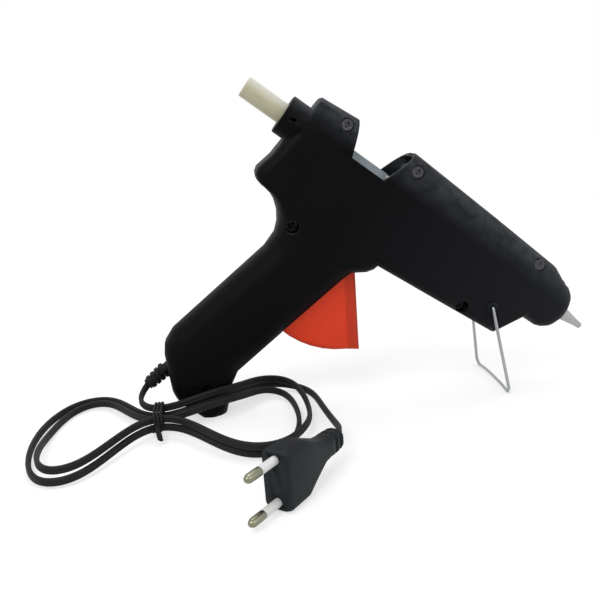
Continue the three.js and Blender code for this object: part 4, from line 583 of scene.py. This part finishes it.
def tieTail(phase):
    line = []
    for i in range(tie["tailPoints"] + 1):
        share = i / tie["tailPoints"]
        angle = share * tie["twists"] * 2 * math.pi + phase
        line.append((tie["x"] + tie["radius"] * math.cos(angle) + tie["tailShift"] * share,
                     tieY - tieHalfY - tie["tail"] * share,
                     tieZ - tie["tailBelow"] + tie["radius"] * math.sin(angle) - tie["tailDroop"] * share))
    return [Vector(point) * mm for point in line]


wireAngles = [k * 2 * math.pi / tie["wireSides"] for k in range(tie["wireSides"])]
roundWire = [(tie["radius"] * mm * math.cos(angle), tie["radius"] * mm * math.sin(angle)) for angle in wireAngles]
tieCoil = sweptPiece("tieCoil", tiePath(), roundWire, Vector((1, 0, 0)))
tieEnds = [sweptPiece(name, tieTail(phase), roundWire, Vector((1, 0, 0)))
           for name, phase in (("tieEndFirst", 0), ("tieEndSecond", math.pi))]
for piece in [tieCoil] + tieEnds:
    dress(piece, "cord_rubber")
    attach(piece, "housing")
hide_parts("cord_tie")
print("tie wound")

dress(mainsCord, "cord_rubber")
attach(mainsCord, "housing")
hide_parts("cord_lead", "cord_hank", "cord_tail")

# A white floor that pales to the white of the room, and three soft lamps
studio = {
    "floorSize": 8, "floorDrop": 0.0002,
    "shadeReach": 0.3, "allWhiteFrom": 1.0, "whiteNearBy": 0.6,  # the floor is lit near the tool, and white beyond
    "skyLight": 0.75,  # what the white room gives, next to how white it looks
    "aim": (0, 0, 0.06),
}
lamps = {
    "keyLamp": {"place": (-0.5, -0.7, 1.1), "size": 0.7, "watts": 9},
    "fillLamp": {"place": (0.9, -0.5, 0.7), "size": 0.9, "watts": 4},
    "topLamp": {"place": (0.1, 0.5, 1.2), "size": 0.8, "watts": 6},
}


# 1 where the camera sees a surface, straight on or mirrored in a gloss, and 0 where it only gives light
def seenShare(tree):
    paths = addNode(tree, "ShaderNodeLightPath")
    return addNode(tree, "ShaderNodeMath", {"operation": "MAXIMUM"},
                   {0: paths.outputs["Is Camera Ray"], 1: paths.outputs["Is Glossy Ray"]})


def addFloor():
    bpy.ops.mesh.primitive_plane_add(size=studio["floorSize"], location=(0, 0, -studio["floorDrop"]))
    floor = bpy.context.object
    floor.name = "studioFloor"
    material, tree, shader = newMaterial("paleFloor", {
        "Base Color": linear("f2f2f2"), "Roughness": 0.9, "Specular IOR Level": 0.0,
    })
    place = addNode(tree, "ShaderNodeTexCoord")
    distance = addNode(tree, "ShaderNodeVectorMath", {"operation": "LENGTH"}, {0: place.outputs["Object"]})
    paling = addNode(tree, "ShaderNodeMapRange", {
        "From Min": studio["shadeReach"], "From Max": studio["allWhiteFrom"], "To Min": studio["whiteNearBy"],
    }, {"Value": distance.outputs["Value"]})
    share = addNode(tree, "ShaderNodeMath", {"operation": "MULTIPLY"},
                    {0: seenShare(tree).outputs[0], 1: paling.outputs["Result"]})
    white = addNode(tree, "ShaderNodeEmission", {"Color": (1, 1, 1, 1), "Strength": 1.0})
    mixed = addNode(tree, "ShaderNodeMixShader", links={0: share.outputs[0], 1: shader.outputs["BSDF"],
                                                        2: white.outputs["Emission"]})
    output = next(n for n in tree.nodes if n.type == "OUTPUT_MATERIAL")
    tree.links.new(mixed.outputs["Shader"], output.inputs["Surface"])
    floor.data.materials.append(material)


def addRoom():
    world = bpy.data.worlds.new("studioWorld")
    bpy.context.scene.world = world
    world.use_nodes = True
    tree = world.node_tree
    tree.nodes.clear()
    strength = addNode(tree, "ShaderNodeMapRange", {"To Min": studio["skyLight"]},
                       {"Value": seenShare(tree).outputs[0]})
    sky = addNode(tree, "ShaderNodeBackground", {"Color": (1, 1, 1, 1)}, {"Strength": strength.outputs["Result"]})
    addNode(tree, "ShaderNodeOutputWorld", links={"Surface": sky.outputs["Background"]})


def addLamp(name, lamp):
    bpy.ops.object.light_add(type="AREA", location=lamp["place"])
    light = bpy.context.object
    light.name = name
    light.data.size = lamp["size"]
    light.data.energy = lamp["watts"]
    aim = Vector(studio["aim"]) - Vector(lamp["place"])
    light.rotation_euler = aim.to_track_quat("-Z", "Y").to_euler()


addFloor()
addRoom()
for name, lamp in lamps.items():
    addLamp(name, lamp)
bpy.context.scene.view_settings.view_transform = "Standard"
print("studio lit")
